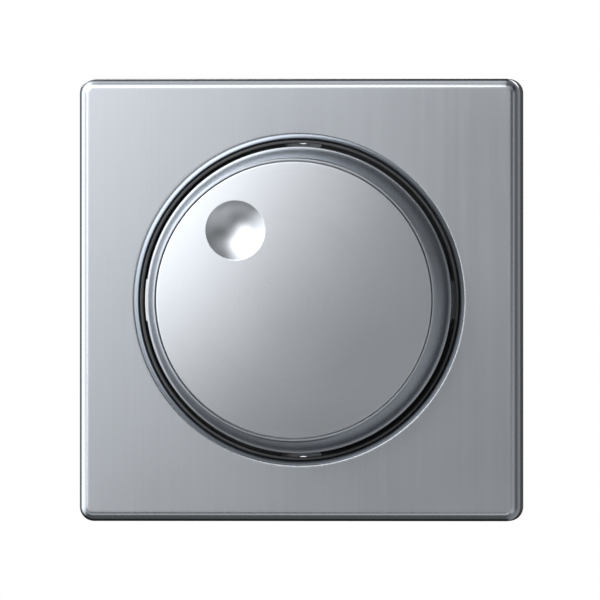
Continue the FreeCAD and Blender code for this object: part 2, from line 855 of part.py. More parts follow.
def make_film_capacitor():
    low = board_bottom - capacitor_height
    body = block(capacitor_x - capacitor_width / 2, capacitor_x + capacitor_width / 2,
                 capacitor_y - capacitor_depth / 2, capacitor_y + capacitor_depth / 2, low, board_bottom)
    edges = [e for e in body.Edges if e.BoundBox.ZMax < board_bottom - 1e-4]
    return body.makeFillet(capacitor_edge, edges)


def make_heat_sink():
    """Aluminium plate along the housing wall, with a foot on the floor."""
    half = sink_length / 2
    plate = block(sink_face, sink_face + sink_thickness, -half, half, housing_floor, sink_top)
    foot = block(sink_face - sink_foot, sink_face + join, -half, half, housing_floor,
                 housing_floor + sink_foot_thickness)
    hole = rod_along(point(1, 0, 0), sink_screw_radius, sink_thickness,
                     point(sink_face, triac_hole_y, triac_height))
    return plate.fuse(foot).cut(hole).removeSplitter()


def make_triac():
    """Power switch: a moulded body, a metal tab with a hole and three bent leads."""
    face = sink_face
    height = triac_height
    tab_end = sink_length / 2
    body_end = tab_end - triac_tab
    half = triac_width / 2
    tab = block(face - triac_tab_thickness, face, body_end, tab_end, height - half, height + half)
    tab = tab.cut(rod_along(point(1, 0, 0), sink_screw_radius, triac_tab_thickness,
                            point(face - triac_tab_thickness, triac_hole_y, height)))
    body = block(face - triac_thickness, face - triac_tab_thickness / 2, body_end, body_end + triac_body,
                 height - half, height + half)
    triac = tab.fuse(body)
    x0 = face - triac_thickness + lead_inset
    y0 = body_end - lead_reach
    y1 = y0 + lead_thickness
    for i in (-1, 0, 1):
        z0 = height + i * lead_pitch - lead_width / 2
        out = block(x0, x0 + lead_thickness, y0, body_end + join, z0, z0 + lead_width)
        bent = x0 - i * lead_splay
        run = block(bent, bent + lead_thickness, y0, y1, z0, board_bottom)
        link = block(min(x0, bent), max(x0, bent) + lead_thickness, y0, y1, z0, z0 + lead_width)
        triac = triac.fuse([out, run, link])
    return triac.removeSplitter()


def make_heat_sink_screw():
    along = point(1, 0, 0)
    tab_face = sink_face - triac_tab_thickness
    head = rod_along(along, sink_screw_head, sink_screw_head_height,
                     point(tab_face - sink_screw_head_height, triac_hole_y, triac_height))
    shank = rod_along(along, sink_screw_radius, triac_tab_thickness + sink_thickness,
                      point(tab_face, triac_hole_y, triac_height))
    return head.fuse(shank).removeSplitter()


def resistor_wire():
    """The tinned wire of one resistor, bent down to the board at both ends."""
    out = resistor_half - resistor_lead
    height = board_top + resistor_lift
    level = height - resistor_lead_bend
    diagonal = resistor_lead_bend * (1 - math.sqrt(0.5))
    feet = [point(side * out, 0, board_top) for side in (-1, 1)]
    knees = [point(side * out, 0, level) for side in (-1, 1)]
    bends = [point(side * (out - diagonal), 0, height - diagonal) for side in (-1, 1)]
    shoulders = [point(side * (out - resistor_lead_bend), 0, height) for side in (-1, 1)]
    path = Part.Wire([
        Part.makeLine(feet[0], knees[0]),
        Part.Arc(knees[0], bends[0], shoulders[0]).toShape(),
        Part.makeLine(shoulders[0], shoulders[1]),
        Part.Arc(shoulders[1], bends[1], knees[1]).toShape(),
        Part.makeLine(knees[1], feet[1]),
    ])
    section = Part.Wire([Part.makeCircle(resistor_lead, feet[0], point(0, 0, 1))])
    return path.makePipeShell([section], True, False)


def make_resistors():
    """Three axial resistors on the front of the board, each a waisted body between two end caps."""
    end = resistor_length
    cap_face = resistor_radius - resistor_cap_chamfer
    body = turned([
        (0, 0),
        (cap_face, 0),
        (resistor_radius, resistor_cap_chamfer),
        (resistor_radius, resistor_cap),
        (resistor_waist, resistor_cap + resistor_cap_slope),
        (resistor_waist, end - resistor_cap - resistor_cap_slope),
        (resistor_radius, end - resistor_cap),
        (resistor_radius, end - resistor_cap_chamfer),
        (cap_face, end),
        (0, end),
    ])
    body.rotate(point(0, 0), point(0, 1, 0), 90)
    body.translate(point(-end / 2, 0, board_top + resistor_lift))
    resistor = body.fuse(resistor_wire()).removeSplitter()
    solids = []
    for i in (-1, 0, 1):
        copy = resistor.copy()
        copy.translate(point(resistor_x + i * resistor_pitch, resistor_y))
        solids.append(copy)
    return Part.makeCompound(solids)


def make_switch_case():
    half = switch_side / 2
    low = board_bottom - switch_height
    case = block(-half, half, -half, half, low, board_bottom)
    inner = half - switch_wall
    case = case.cut(block(-inner, inner, -inner, inner, switch_floor, board_bottom - switch_wall))
    return case.cut(rod(plunger_radius + plunger_clearance, board_bottom - switch_wall, board_bottom))


def make_switch_plunger():
    """Moulded push rod: a stem, a flange for the bridge and a pin inside the spring."""
    return turned([
        (0, plunger_top),
        (plunger_radius, plunger_top),
        (plunger_radius, stem_foot),
        (plunger_flange, stem_foot),
        (plunger_flange, flange_bottom),
        (plunger_pin, flange_bottom),
        (plunger_pin, flange_bottom - plunger_pin_length),
        (0, flange_bottom - plunger_pin_length),
    ])


def make_return_spring():
    """Coil spring between the switch floor and the plunger's flange."""
    height = flange_bottom - switch_floor - 2 * spring_wire
    helix = Part.makeHelix(height / spring_turns, height, spring_radius)
    wire = Part.Wire(helix.Edges)
    section = Part.Wire(Part.makeCircle(spring_wire, point(spring_radius, 0), point(0, 1, 0)))
    coil = wire.makePipeShell([section], True, True)
    coil.translate(point(0, 0, switch_floor + spring_wire))
    return coil


def make_contact_bridge():
    half = bridge_width / 2
    top = stem_foot + bridge_thickness
    strip = block(-bridge_half_length, bridge_half_length, -half, half, stem_foot, top)
    pad = rod(plunger_flange, stem_foot, top)
    return strip.fuse(pad).cut(rod(plunger_radius + fit, stem_foot, top)).removeSplitter()


def make_fixed_contacts():
    top = stem_foot - push_travel - contact_gap
    half = contact_width / 2
    posts = []
    for side in (-1, 1):
        outer = side * bridge_half_length
        inner = side * (bridge_half_length - contact_width)
        x0, x1 = sorted((outer, inner))
        posts.append(block(x0, x1, -half, half, switch_floor, top))
    return Part.makeCompound(posts)


def terminal_places():
    return [(i - (terminal_count - 1) / 2) * terminal_pitch for i in range(terminal_count)]


def make_terminal_cages():
    """Brass clamps, each with a square wire passage and a pin up to the board."""
    cages = []
    y0 = terminal_y - cage_depth / 2
    for x in terminal_places():
        cage = block(x - cage_width / 2, x + cage_width / 2, y0, y0 + cage_depth,
                     housing_floor, housing_floor + cage_height)
        passage = block(x - cage_width / 2 + cage_wall, x + cage_width / 2 - cage_wall,
                        y0 + cage_wall, y0 + cage_depth - cage_wall, housing_floor, housing_floor + cage_height)
        thread = rod_along(point(0, 1, 0), terminal_screw_radius + fit, terminal_screw_length,
                           point(x, y0, housing_floor + cage_height / 2))
        pin = block(x - cage_pin / 2, x + cage_pin / 2, y0 + cage_depth - cage_wall, y0 + cage_depth,
                    housing_floor + cage_height - join, board_bottom)
        cages.append(cage.cut(passage).cut(thread).fuse(pin).removeSplitter())
    return Part.makeCompound(cages)


def make_terminal_screws():
    """Clamp screws, reached through the lower wall of the housing."""
    y0 = terminal_y - cage_depth / 2
    along = point(0, 1, 0)
    screws = []
    for x in terminal_places():
        height = housing_floor + cage_height / 2
        head = rod_along(along, terminal_screw_head, terminal_head_height, point(x, y0 - terminal_head_height, height))
        slot = block(x - terminal_screw_head, x + terminal_screw_head, y0 - terminal_head_height,
                     y0 - terminal_head_height + terminal_slot_depth,
                     height - terminal_slot_width / 2, height + terminal_slot_width / 2)
        shank = rod_along(along, terminal_screw_radius, terminal_screw_length, point(x, y0 - join, height))
        screws.append(head.cut(slot).fuse(shank).removeSplitter())
    return Part.makeCompound(screws)


def make_claw_screws():
    screws = []
    for side in (-1, 1):
        x = side * claw_screw_x
        head = rod(claw_screw_head, ring_thickness, ring_thickness + claw_head_height, x, 0)
        top = ring_thickness + claw_head_height
        slot = block(x - claw_screw_head, x + claw_screw_head, -claw_slot_width / 2, claw_slot_width / 2,
                     top - claw_slot_depth, top)
        shank = rod(claw_screw_radius, ring_thickness - claw_screw_length, ring_thickness + join, x, 0)
        screws.append(head.cut(slot).fuse(shank).removeSplitter())
    return Part.makeCompound(screws)


def right_claw_nut():
    """Block that the claw screw draws forward, with a trunnion on each side."""
    half_x = claw_nut_x / 2
    half_y = claw_nut_y / 2
    half_z = claw_nut_z / 2
    height = -claw_nut_rest
    nut = block(claw_screw_x - half_x, claw_screw_x + half_x, -half_y, half_y, height - half_z, height + half_z)
    length = claw_nut_y + 2 * trunnion_length
    pin = rod_along(point(0, 1, 0), trunnion_radius, length, point(claw_screw_x, -length / 2, height))
    thread = rod(claw_screw_radius + fit, height - half_z, height + half_z, claw_screw_x, 0)
    return nut.fuse(pin).cut(thread).removeSplitter()


def right_claw():
    """Folded steel claw: two ears on the nut's trunnions, a back and two teeth."""
    height = -claw_nut_rest
    inner = claw_inner
    outer = claw_outer
    foot = height - claw_drop
    back_outer = claw_screw_x + claw_reach
    pieces = []
    for side in (-1, 1):
        y0, y1 = sorted((side * inner, side * outer))
        ear = rod_along(point(0, 1, 0), claw_ear_radius, claw_sheet, point(claw_screw_x, y0, height))
        arm = block(claw_screw_x, back_outer, y0, y1, foot, height)
        pieces.append(ear.fuse(arm))
    back = block(back_outer - claw_sheet, back_outer, -outer, outer, foot, height - claw_nut_z / 2)
    pieces.append(back)
    for side in (-1, 1):
        root = side * outer
        tip = side * (outer - claw_tooth_width)
        tooth = Part.Face(Part.makePolygon([
            point(back_outer - join, root, foot),
            point(back_outer + claw_tooth, (root + tip) / 2, foot),
            point(back_outer - join, tip, foot),
            point(back_outer - join, root, foot),
        ])).extrude(point(0, 0, claw_sheet))
        pieces.append(tooth)
    claw = pieces[0].fuse(pieces[1:])
    hole = rod_along(point(0, 1, 0), trunnion_radius + fit, 2 * outer, point(claw_screw_x, -outer, height))
    return claw.cut(hole).removeSplitter()


def make_claw_nut_right():
    return right_claw_nut()


def make_claw_nut_left():
    return mirrored(right_claw_nut())


def make_claw_right():
    return right_claw()


def make_claw_left():
    return mirrored(right_claw())


MAKERS = {
    "faceplate": make_faceplate,
    "plate_carrier": make_plate_carrier,
    "knob_skirt": make_knob_skirt,
    "knob_disc": make_knob_disc,
    "knob_core": make_knob_core,
    "hub_spring": make_hub_spring,
    "spindle": make_spindle,
    "spindle_clip": make_spindle_clip,
    "threaded_bush": make_threaded_bush,
    "fixing_nut": make_fixing_nut,
    "lock_washer": make_lock_washer,
    "support_ring": make_support_ring,
    "housing_cover": make_housing_cover,
    "base_housing": make_base_housing,
    "housing_screws": make_housing_screws,
    "pot_case": make_pot_case,
    "pot_track": make_pot_track,
    "pot_rotor": make_pot_rotor,
    "wiper_contact": make_wiper_contact,
    "circuit_board": make_circuit_board,
    "fuse": make_fuse,
    "fuse_clips": make_fuse_clips,
    "choke_core": make_choke_core,
    "choke_winding": make_choke_winding,
    "film_capacitor": make_film_capacitor,
    "heat_sink": make_heat_sink,
    "heat_sink_screw": make_heat_sink_screw,
    "triac": make_triac,
    "resistors": make_resistors,
    "switch_case": make_switch_case,
    "switch_plunger": make_switch_plunger,
    "return_spring": make_return_spring,
    "contact_bridge": make_contact_bridge,
    "fixed_contacts": make_fixed_contacts,
    "terminal_cages": make_terminal_cages,
    "terminal_screws": make_terminal_screws,
    "claw_screws": make_claw_screws,
    "claw_nut_left": make_claw_nut_left,
    "claw_nut_right": make_claw_nut_right,
    "claw_left": make_claw_left,
    "claw_right": make_claw_right,
}

os.makedirs("parts", exist_ok=True)
for name, make in MAKERS.items():
    shape = make()
    shape.rotate(point(0, 0), point(1, 0, 0), 90)
    shape.exportStep("parts/" + name + ".step")
    print(name, len(shape.Solids), round(shape.Volume, 2), shape.isValid())
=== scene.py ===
"""Dresses a flush rotary dimmer switch: finer metal front, threads, solder and finishes.

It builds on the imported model, in metres: +Z up the wall, the face looks along -Y, and +X points to
the user's right.
"""

import json
import math

import bmesh
import bpy
import numpy as np
from bpy.props import FloatProperty, FloatVectorProperty, IntProperty, PointerProperty
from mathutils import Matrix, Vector


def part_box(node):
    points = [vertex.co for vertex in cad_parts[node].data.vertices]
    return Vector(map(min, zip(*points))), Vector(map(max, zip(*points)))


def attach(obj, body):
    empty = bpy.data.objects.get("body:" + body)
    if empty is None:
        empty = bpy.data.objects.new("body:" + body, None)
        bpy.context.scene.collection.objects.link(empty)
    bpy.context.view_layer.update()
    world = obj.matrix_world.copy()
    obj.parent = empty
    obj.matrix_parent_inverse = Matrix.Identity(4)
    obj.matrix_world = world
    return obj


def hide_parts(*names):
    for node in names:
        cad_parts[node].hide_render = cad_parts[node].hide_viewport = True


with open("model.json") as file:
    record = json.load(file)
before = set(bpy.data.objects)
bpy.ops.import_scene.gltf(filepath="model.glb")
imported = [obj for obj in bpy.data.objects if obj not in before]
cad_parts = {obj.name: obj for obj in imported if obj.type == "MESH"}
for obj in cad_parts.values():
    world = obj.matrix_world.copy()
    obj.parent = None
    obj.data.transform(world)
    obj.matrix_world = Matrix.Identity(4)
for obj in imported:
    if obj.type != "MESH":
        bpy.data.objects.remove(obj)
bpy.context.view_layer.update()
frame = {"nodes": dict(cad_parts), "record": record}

bl_info = {
    "name": "Rotary dimmer switch",
    "version": (1, 0, 0),
    "blender": (4, 5, 0),
    "location": "3D View > Sidebar > Dimmer",
    "description": "Builds the finishes and fine detail of a flush rotary dimmer switch",
    "category": "Object",
}

MM = 0.001
NODES = frame["nodes"]
PLATE_LOW, PLATE_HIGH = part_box("faceplate")
DISC_LOW, DISC_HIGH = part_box("knob_disc")
SKIRT_LOW, SKIRT_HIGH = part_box("knob_skirt")


class DimmerShape(bpy.types.PropertyGroup):
    plate_half: FloatProperty(
        name="Plate half side", description="From the knob's axis to the plate's side",
        default=PLATE_HIGH.x, subtype="DISTANCE", unit="LENGTH")
    plate_front: FloatProperty(
        name="Plate front", description="How far the plate's face stands off the wall",
        default=-PLATE_LOW.y, subtype="DISTANCE", unit="LENGTH")
    plate_foot: FloatProperty(
        name="Plate foot", description="Gap between the plate's edge and the wall",
        default=-PLATE_HIGH.y, subtype="DISTANCE", unit="LENGTH")
    plate_corner: FloatProperty(
        name="Plate corner", description="Radius of the plate's corners",
        default=2.6 * MM, subtype="DISTANCE", unit="LENGTH")
    plate_roll: FloatProperty(
        name="Edge roll", description="Radius of the rolled outer edge",
        default=1.7 * MM, subtype="DISTANCE", unit="LENGTH")
    plate_wall: FloatProperty(
        name="Sheet thickness", description="Thickness of the plate's sheet",
        default=1.2 * MM, subtype="DISTANCE", unit="LENGTH")
    hole_radius: FloatProperty(
        name="Hole radius", description="Radius of the round hole",
        default=29.0 * MM, subtype="DISTANCE", unit="LENGTH")
    rim_roll: FloatProperty(
        name="Rim roll", description="Radius of the roll into the hole",
        default=1.3 * MM, subtype="DISTANCE", unit="LENGTH")
    rim_depth: FloatProperty(
        name="Rim depth", description="How deep the turned-in rim reaches",
        default=3.5 * MM, subtype="DISTANCE", unit="LENGTH")
    flange_top: FloatProperty(
        name="Flange height",
        description="How far the top of the knob's flange stands off the wall",
        default=9.7 * MM, subtype="DISTANCE", unit="LENGTH")
    cone_foot: FloatProperty(
        name="Cone foot radius", description="Radius of the knob's cone at the flange",
        default=27.4 * MM, subtype="DISTANCE", unit="LENGTH")
    cone_top: FloatProperty(
        name="Cone top radius", description="Radius of the knob's cone at its chamfer",
        default=25.75 * MM, subtype="DISTANCE", unit="LENGTH")
    skirt_wall: FloatProperty(
        name="Skirt wall", description="Thickness of the knob's turned wall",
        default=1.4 * MM, subtype="DISTANCE", unit="LENGTH")
    disc_radius: FloatProperty(
        name="Face radius", description="Radius of the knob's face disc",
        default=DISC_HIGH.x, subtype="DISTANCE", unit="LENGTH")
    disc_crown: FloatProperty(
        name="Face crown", description="Height of the face's dome",
        default=0.75 * MM, subtype="DISTANCE", unit="LENGTH")
    disc_edge: FloatProperty(
        name="Face edge", description="Radius of the face's broken edge",
        default=0.15 * MM, subtype="DISTANCE", unit="LENGTH")
    dimple_radius: FloatProperty(
        name="Dimple radius", description="Radius of the finger dimple at the surface",
        default=5.45 * MM, subtype="DISTANCE", unit="LENGTH")
    dimple_depth: FloatProperty(
        name="Dimple depth", description="Depth of the finger dimple",
        default=1.3 * MM, subtype="DISTANCE", unit="LENGTH")
    dimple_offset: FloatProperty(
        name="Dimple offset", description="From the knob's axis to the dimple's middle",
        default=16.4 * MM, subtype="DISTANCE", unit="LENGTH")
    dimple_angle: FloatProperty(
        name="Dimple angle", description="Direction of the dimple, anticlockwise from the right",
        default=math.radians(130), subtype="ANGLE")
    thread_pitch: FloatProperty(
        name="Thread pitch", description="Pitch of the claw screws' thread",
        default=0.6 * MM, subtype="DISTANCE", unit="LENGTH")
    segments: IntProperty(
        name="Segments", description="Faces round each turned piece", default=256, min=32, max=512)


class DimmerFinish(bpy.types.PropertyGroup):
    metal: FloatVectorProperty(
        name="Satin metal", description="Colour of the anodised front", subtype="COLOR",
        size=3, min=0, max=1, default=(0.705, 0.745, 0.8))
    metal_roughness: FloatProperty(
        name="Satin roughness", description="Roughness of the anodised front",
        default=0.3, min=0, max=1, subtype="FACTOR")
    lining: FloatVectorProperty(
        name="Lining", description="Colour of the dark moulding in the hole", subtype="COLOR",
        size=3, min=0, max=1, default=(0.035, 0.037, 0.04))
    housing: FloatVectorProperty(
        name="Housing", description="Colour of the mechanism's moulding", subtype="COLOR",
        size=3, min=0, max=1, default=(0.56, 0.57, 0.56))
    zinc: FloatVectorProperty(
        name="Zinc plating", description="Colour of the plated steel", subtype="COLOR",
        size=3, min=0, max=1, default=(0.60, 0.62, 0.65))
    brass: FloatVectorProperty(
        name="Brass", description="Colour of the machined brass", subtype="COLOR",
        size=3, min=0, max=1, default=(0.76, 0.58, 0.28))
    copper: FloatVectorProperty(
        name="Enamelled copper", description="Colour of the winding", subtype="COLOR",
        size=3, min=0, max=1, default=(0.62, 0.24, 0.1))
    board: FloatVectorProperty(
        name="Board", description="Colour of the lacquered circuit board", subtype="COLOR",
        size=3, min=0, max=1, default=(0.03, 0.17, 0.07))


class DimmerStage(bpy.types.PropertyGroup):
    azimuth: FloatProperty(
        name="Camera azimuth", description="Turn of the camera to the right of straight on",
        default=math.radians(5.4), subtype="ANGLE")
    lens: FloatProperty(
        name="Lens", description="Focal length on a 36 mm sensor", default=1500.0, unit="CAMERA")
    frame_width: FloatProperty(
        name="Frame width", description="Width seen at the plate",
        default=0.1085, subtype="DISTANCE", unit="LENGTH")
    floor_drop: FloatProperty(
        name="Floor", description="How far the floor lies under the knob's axis",
        default=0.28, subtype="DISTANCE", unit="LENGTH")
    softbox: FloatProperty(
        name="Softbox power", description="Power that each softbox gives its share of",
        default=1.0, unit="POWER")
    room: FloatProperty(
        name="Room light", description="Brightness of the studio's walls in reflections",
        default=1.0, min=0, max=4)


class Field:
    """A number that changes over a surface: a socket that takes part in sums."""

    def __init__(self, paint, socket):
        self.paint = paint
        self.socket = socket

    def _with(self, operation, *others):
        return self.paint.maths(operation, self, *others)

    def __add__(self, other):
        return self._with("ADD", other)

    def __sub__(self, other):
        return self._with("SUBTRACT", other)

    def __mul__(self, other):
        return self._with("MULTIPLY", other)

    def __truediv__(self, other):
        return self._with("DIVIDE", other)

    def __pow__(self, other):
        return self._with("POWER", other)

    def __mod__(self, other):
        return self._with("FLOORED_MODULO", other)

    def __lt__(self, other):
        return self._with("LESS_THAN", other)

    def __gt__(self, other):
        return self._with("GREATER_THAN", other)

    def __abs__(self):
        return self._with("ABSOLUTE")

    def __rsub__(self, other):
        return self.paint.maths("SUBTRACT", other, self)

    def __rtruediv__(self, other):
        return self.paint.maths("DIVIDE", other, self)

    __radd__ = __add__
    __rmul__ = __mul__

    def swing(self, amount):
        """How far the number lies from a half, times an amount."""
        return (self - 0.5) * amount


class Paint:
    """The nodes of one finish, or of the studio's world."""

    def __init__(self, tree, coordinates="Object"):
        self.tree = tree
        self.tree.nodes.clear()
        place = self.node("ShaderNodeTexCoord")
        self.place = place.outputs[coordinates]
        parts = self.node("ShaderNodeSeparateXYZ", Vector=self.place)
        self.x, self.y, self.z = (Field(self, parts.outputs[axis]) for axis in "XYZ")

    def node(self, kind, settings=(), **sockets):
        """One node: its settings first, then the values or links of its sockets."""
        made = self.tree.nodes.new(kind)
        for key, value in dict(settings).items():
            setattr(made, key, value)
        by_name = {}
        for socket in made.inputs:
            by_name.setdefault(socket.name.replace(" ", "_"), socket)
            by_name[socket.identifier] = socket
        for key, value in sockets.items():
            socket = by_name[key]
            value = getattr(value, "socket", value)
            if isinstance(value, bpy.types.NodeSocket):
                self.tree.links.new(value, socket)
            elif socket.type == "RGBA" and len(value) == 3:
                socket.default_value = (*value, 1.0)
            else:
                socket.default_value = value
        return made

    def maths(self, operation, *values):
        sockets = dict(zip(("Value", "Value_001"), values))
        made = self.node("ShaderNodeMath", {"operation": operation}, **sockets)
        return Field(self, made.outputs[0])

    def clamped(self, value):
        return self.maths("MINIMUM", self.maths("MAXIMUM", value, 0.0), 1.0)

    def ramp(self, value, low, high):
        """0 at low, 1 at high, with a soft start and end."""
        made = self.node("ShaderNodeMapRange", {"interpolation_type": "SMOOTHSTEP"},
                         Value=value, From_Min=low, From_Max=high)
        return Field(self, made.outputs["Result"])

    def from_axis(self):
        """Distance from the knob's axis."""
        return (self.x * self.x + self.z * self.z) ** 0.5

    def stretched(self, x, y, z):
        """The place on the piece with each axis multiplied, in metres."""
        return self.node("ShaderNodeVectorMath", {"operation": "MULTIPLY"},
                         Vector=self.place, Vector_001=(x, y, z)).outputs["Vector"]

    def vector(self, x, y, z):
        return self.node("ShaderNodeCombineXYZ", X=x, Y=y, Z=z).outputs["Vector"]

    def noise(self, vector, scale=1.0, detail=3.0, rough=0.5):
        made = self.node("ShaderNodeTexNoise", Vector=vector, Scale=scale, Detail=detail,
                         Roughness=rough)
        return Field(self, made.outputs["Fac"])

    def cells(self, vector, scale=1.0, feature="F1"):
        made = self.node("ShaderNodeTexVoronoi", {"feature": feature}, Vector=vector, Scale=scale)
        return Field(self, made.outputs["Distance"])

    def blend(self, factor, first, second):
        """A colour between two, by a factor."""
        made = self.node("ShaderNodeMix", {"data_type": "RGBA"},
                         Factor_Float=factor, A_Color=first, B_Color=second)
        return next(out for out in made.outputs if out.identifier == "Result_Color")

    def toned(self, factor, colour, low, high):
        """A colour between two lighter or darker shares of itself, by a factor."""
        return self.blend(factor, lighter(colour, low), lighter(colour, high))

    def bump(self, height, depth, strength, over=None):
        sockets = {"Height": height, "Distance": depth, "Strength": strength}
        if over is not None:
            sockets["Normal"] = over
        return self.node("ShaderNodeBump", **sockets).outputs["Normal"]

    def broken_edge(self, width):
        """The direction of the surface with its sharp edges rounded over a width."""
        return self.node("ShaderNodeBevel", {"samples": 4}, Radius=width).outputs["Normal"]

    def shader(self, **sockets):
        return self.node("ShaderNodeBsdfPrincipled", **sockets)

    def mixed(self, factor, first, second):
        """A shader between two, by a factor."""
        return self.node("ShaderNodeMixShader", Fac=factor,
                         Shader=first.outputs[0], Shader_001=second.outputs[0])

    def finish(self, shader):
        self.node("ShaderNodeOutputMaterial", Surface=shader.outputs[0])


def lighter(colour, share):
    """A colour moved towards white, or towards black where share is negative."""
    goal = 1.0 if share > 0 else 0.0
    return tuple(c + (goal - c) * abs(share) for c in colour)


def new_finish(name):
    material = bpy.data.materials.new("finish_" + name)
    material.use_nodes = True
    return material, Paint(material.node_tree)


RESISTOR_PITCH, RESISTOR_COUNT, RESISTOR_LEAD = 8.2 * MM, 3, 1.0 * MM
FUSE_CAP = 5.5 * MM
WIRE_PITCH = 0.35 * MM


# In the finishes below, scales and stretches count marks to the metre, and what a pattern adds to
# a roughness, a tone or a height is a share of one. The depths of relief are in millimetres.

def satin_plate(name, colour, roughness, shape):
    """Anodised sheet brushed up and down, smoother on its rolled edges."""
    material, p = new_finish(name)
    lines = p.noise(p.stretched(9000, 9000, 90), detail=4)
    long_lines = p.noise(p.stretched(2600, 2600, 14), detail=2)
    cloud = p.noise(p.place, scale=45, detail=2)
    shade = lines * 0.5 + long_lines * 0.5
    from_hole = p.from_axis() - shape.hole_radius
    from_side = shape.plate_half - p.maths("MAXIMUM", abs(p.x), abs(p.z))
    roll_end, roll_roughness = 0.7, 0.6
    flat = (p.ramp(from_hole, shape.rim_roll * roll_end, shape.rim_roll)
            * p.ramp(from_side, shape.plate_roll * roll_end, shape.plate_roll))
    rough = (roughness * (roll_roughness + flat * (1 - roll_roughness))
             + (shade.swing(0.08) + cloud.swing(0.05)) * flat)
    p.finish(p.shader(
        Base_Color=p.toned(p.ramp(shade, 0.3, 0.7), colour, -0.025, 0.025),
        Metallic=1.0, Roughness=rough, Normal=p.bump(shade * flat, 0.002 * MM, 0.5)))
    return material


def satin_turned(name, colour, roughness):
    """Anodised metal with fine rings left by turning."""
    material, p = new_finish(name)
    ring_width = 0.12 * MM
    rings = p.noise(p.vector(p.from_axis() / ring_width, p.y / ring_width, p.x * 60), detail=3)
    speckle = p.noise(p.place, scale=7000, detail=2)
    cloud = p.noise(p.place, scale=60, detail=2)
    shade = rings * 0.55 + speckle * 0.45
    p.finish(p.shader(
        Base_Color=p.toned(p.ramp(shade, 0.3, 0.7), colour, -0.04, 0.04),
        Metallic=1.0, Roughness=roughness + shade.swing(0.1) + cloud.swing(0.04),
        Normal=p.bump(shade, 0.003 * MM, 0.6)))
    return material


def moulded(name, colour, roughness, grain=0.12 * MM, depth=0.008 * MM, fleck=0.06):
    """Moulded plastic with a fine eroded grain, flow clouds and broken edges."""
    material, p = new_finish(name)
    pits = p.cells(p.place, scale=1 / grain)
    fine = p.noise(p.place, scale=2.2 / grain, detail=3)
    flow = p.noise(p.place, scale=70, detail=3)
    tint = p.clamped(0.5 + flow.swing(1.4) + fine.swing(0.6))
    p.finish(p.shader(
        Base_Color=p.toned(tint, colour, -fleck, fleck),
        Roughness=roughness + fine.swing(0.16) + flow.swing(0.06),
        Normal=p.bump(pits * 0.5 + fine * 0.5, depth, 0.7, over=p.broken_edge(0.12 * MM))))
    return material


def plated(name, colour, roughness):
    """Zinc-plated steel: a clouded bright film with rolling lines and small scratches."""
    material, p = new_finish(name)
    cloud = p.noise(p.place, scale=380, detail=4, rough=0.6)
    rolled = p.noise(p.stretched(5200, 5200, 160), detail=3)
    scratch = p.noise(p.stretched(420, 900, 9000), detail=1)
    warm = tuple(c * share for c, share in zip(colour, (1.03, 0.99, 0.9)))
    cool = tuple(c * share for c, share in zip(colour, (0.9, 0.97, 1.05)))
    scored = p.ramp(scratch, 0.62, 0.72)
    p.finish(p.shader(
        Base_Color=p.blend(p.ramp(cloud, 0.35, 0.65), cool, warm),
        Metallic=1.0,
        Roughness=roughness + cloud.swing(0.22) + scored * 0.1,
        Normal=p.bump(rolled * 0.7 + cloud * 0.3, 0.006 * MM, 0.6, over=p.broken_edge(0.1 * MM))))
    return material


def machined(name, colour, roughness, axis="y"):
    """Cut metal with fine tool lines across its axis."""
    material, p = new_finish(name)
    line_pitch = 0.1 * MM
    lines = p.noise(p.vector(getattr(p, axis) / line_pitch, p.x * 200, 0.0), detail=2)
    cloud = p.noise(p.place, scale=500, detail=2)
    p.finish(p.shader(
        Base_Color=p.toned(p.ramp(cloud, 0.3, 0.7), colour, -0.12, 0.08),
        Metallic=1.0,
        Roughness=roughness + lines.swing(0.2) + cloud.swing(0.12),
        Normal=p.bump(lines, 0.005 * MM, 0.6, over=p.broken_edge(0.08 * MM))))
    return material


def laminate(name, colour, metal):
    """Lacquered board: woven glass under green lacquer, with tracks showing through."""
    material, p = new_finish(name)
    strands = 1400
    weave = sum(abs(((along * strands) % 1.0) - 0.5) for along in (p.x, p.z))
    lanes = p.cells(p.stretched(160, 0, 90), feature="DISTANCE_TO_EDGE")
    track = 1 - p.ramp(lanes, 0.05, 0.08)
    base = p.toned(p.ramp(weave, 0.2, 0.8), colour, -0.15, 0.05)
    p.finish(p.shader(
        Base_Color=p.blend(track * 0.55, base, lighter(metal, -0.45)),
        Roughness=0.28 + weave * 0.06, Coat_Weight=0.4, Coat_Roughness=0.15,
        Normal=p.bump(track * 0.7 + weave * 0.1, 0.02 * MM, 0.6)))
    return material


def wound(name, colour, pitch):
    """Lacquered wire laid turn beside turn."""
    material, p = new_finish(name)
    # Each turn's colour is painted lighter along its crown and darker where it meets the next turn:
    # a painted highlight and painted shade between the turns.
    turn = abs(((p.y / pitch) % 1.0) - 0.5) * 2
    cloud = p.noise(p.place, scale=900, detail=2)
    p.finish(p.shader(
        Base_Color=p.toned(p.clamped(turn * 0.7 + cloud * 0.3), colour, 0.1, -0.4),
        Metallic=0.8, Roughness=0.24 + cloud * 0.1, Coat_Weight=0.6, Coat_Roughness=0.1,
        Normal=p.bump(1 - turn * turn, 0.04 * MM, 0.6)))
    return material


def banded(name, colour, middle, half):
    """Lacquered resistor bodies with plain colour rings and tinned ends."""
    material, p = new_finish(name)
    first = middle - RESISTOR_PITCH * (RESISTOR_COUNT - 1) / 2
    local = ((p.x - first + RESISTOR_PITCH / 2) % RESISTOR_PITCH) - RESISTOR_PITCH / 2
    ring_places, ring_half = (-0.55, -0.2, 0.15, 0.6), 0.09
    rings = 0.0
    for place in ring_places:
        rings = p.maths("MAXIMUM", rings, abs(local - place * half) < half * ring_half)
    ring_colour = p.blend(abs(local) < half * 0.3, (0.16, 0.05, 0.02), (0.45, 0.28, 0.03))
    body = p.blend(rings, colour, ring_colour)
    tinned = abs(local) > half
    gloss = p.noise(p.place, scale=1500, detail=2)
    p.finish(p.shader(
        Base_Color=p.blend(tinned, body, (0.6, 0.6, 0.58)), Metallic=tinned,
        Roughness=0.3 + gloss * 0.15, Normal=p.bump(gloss, 0.02 * MM, 0.4)))
    return material


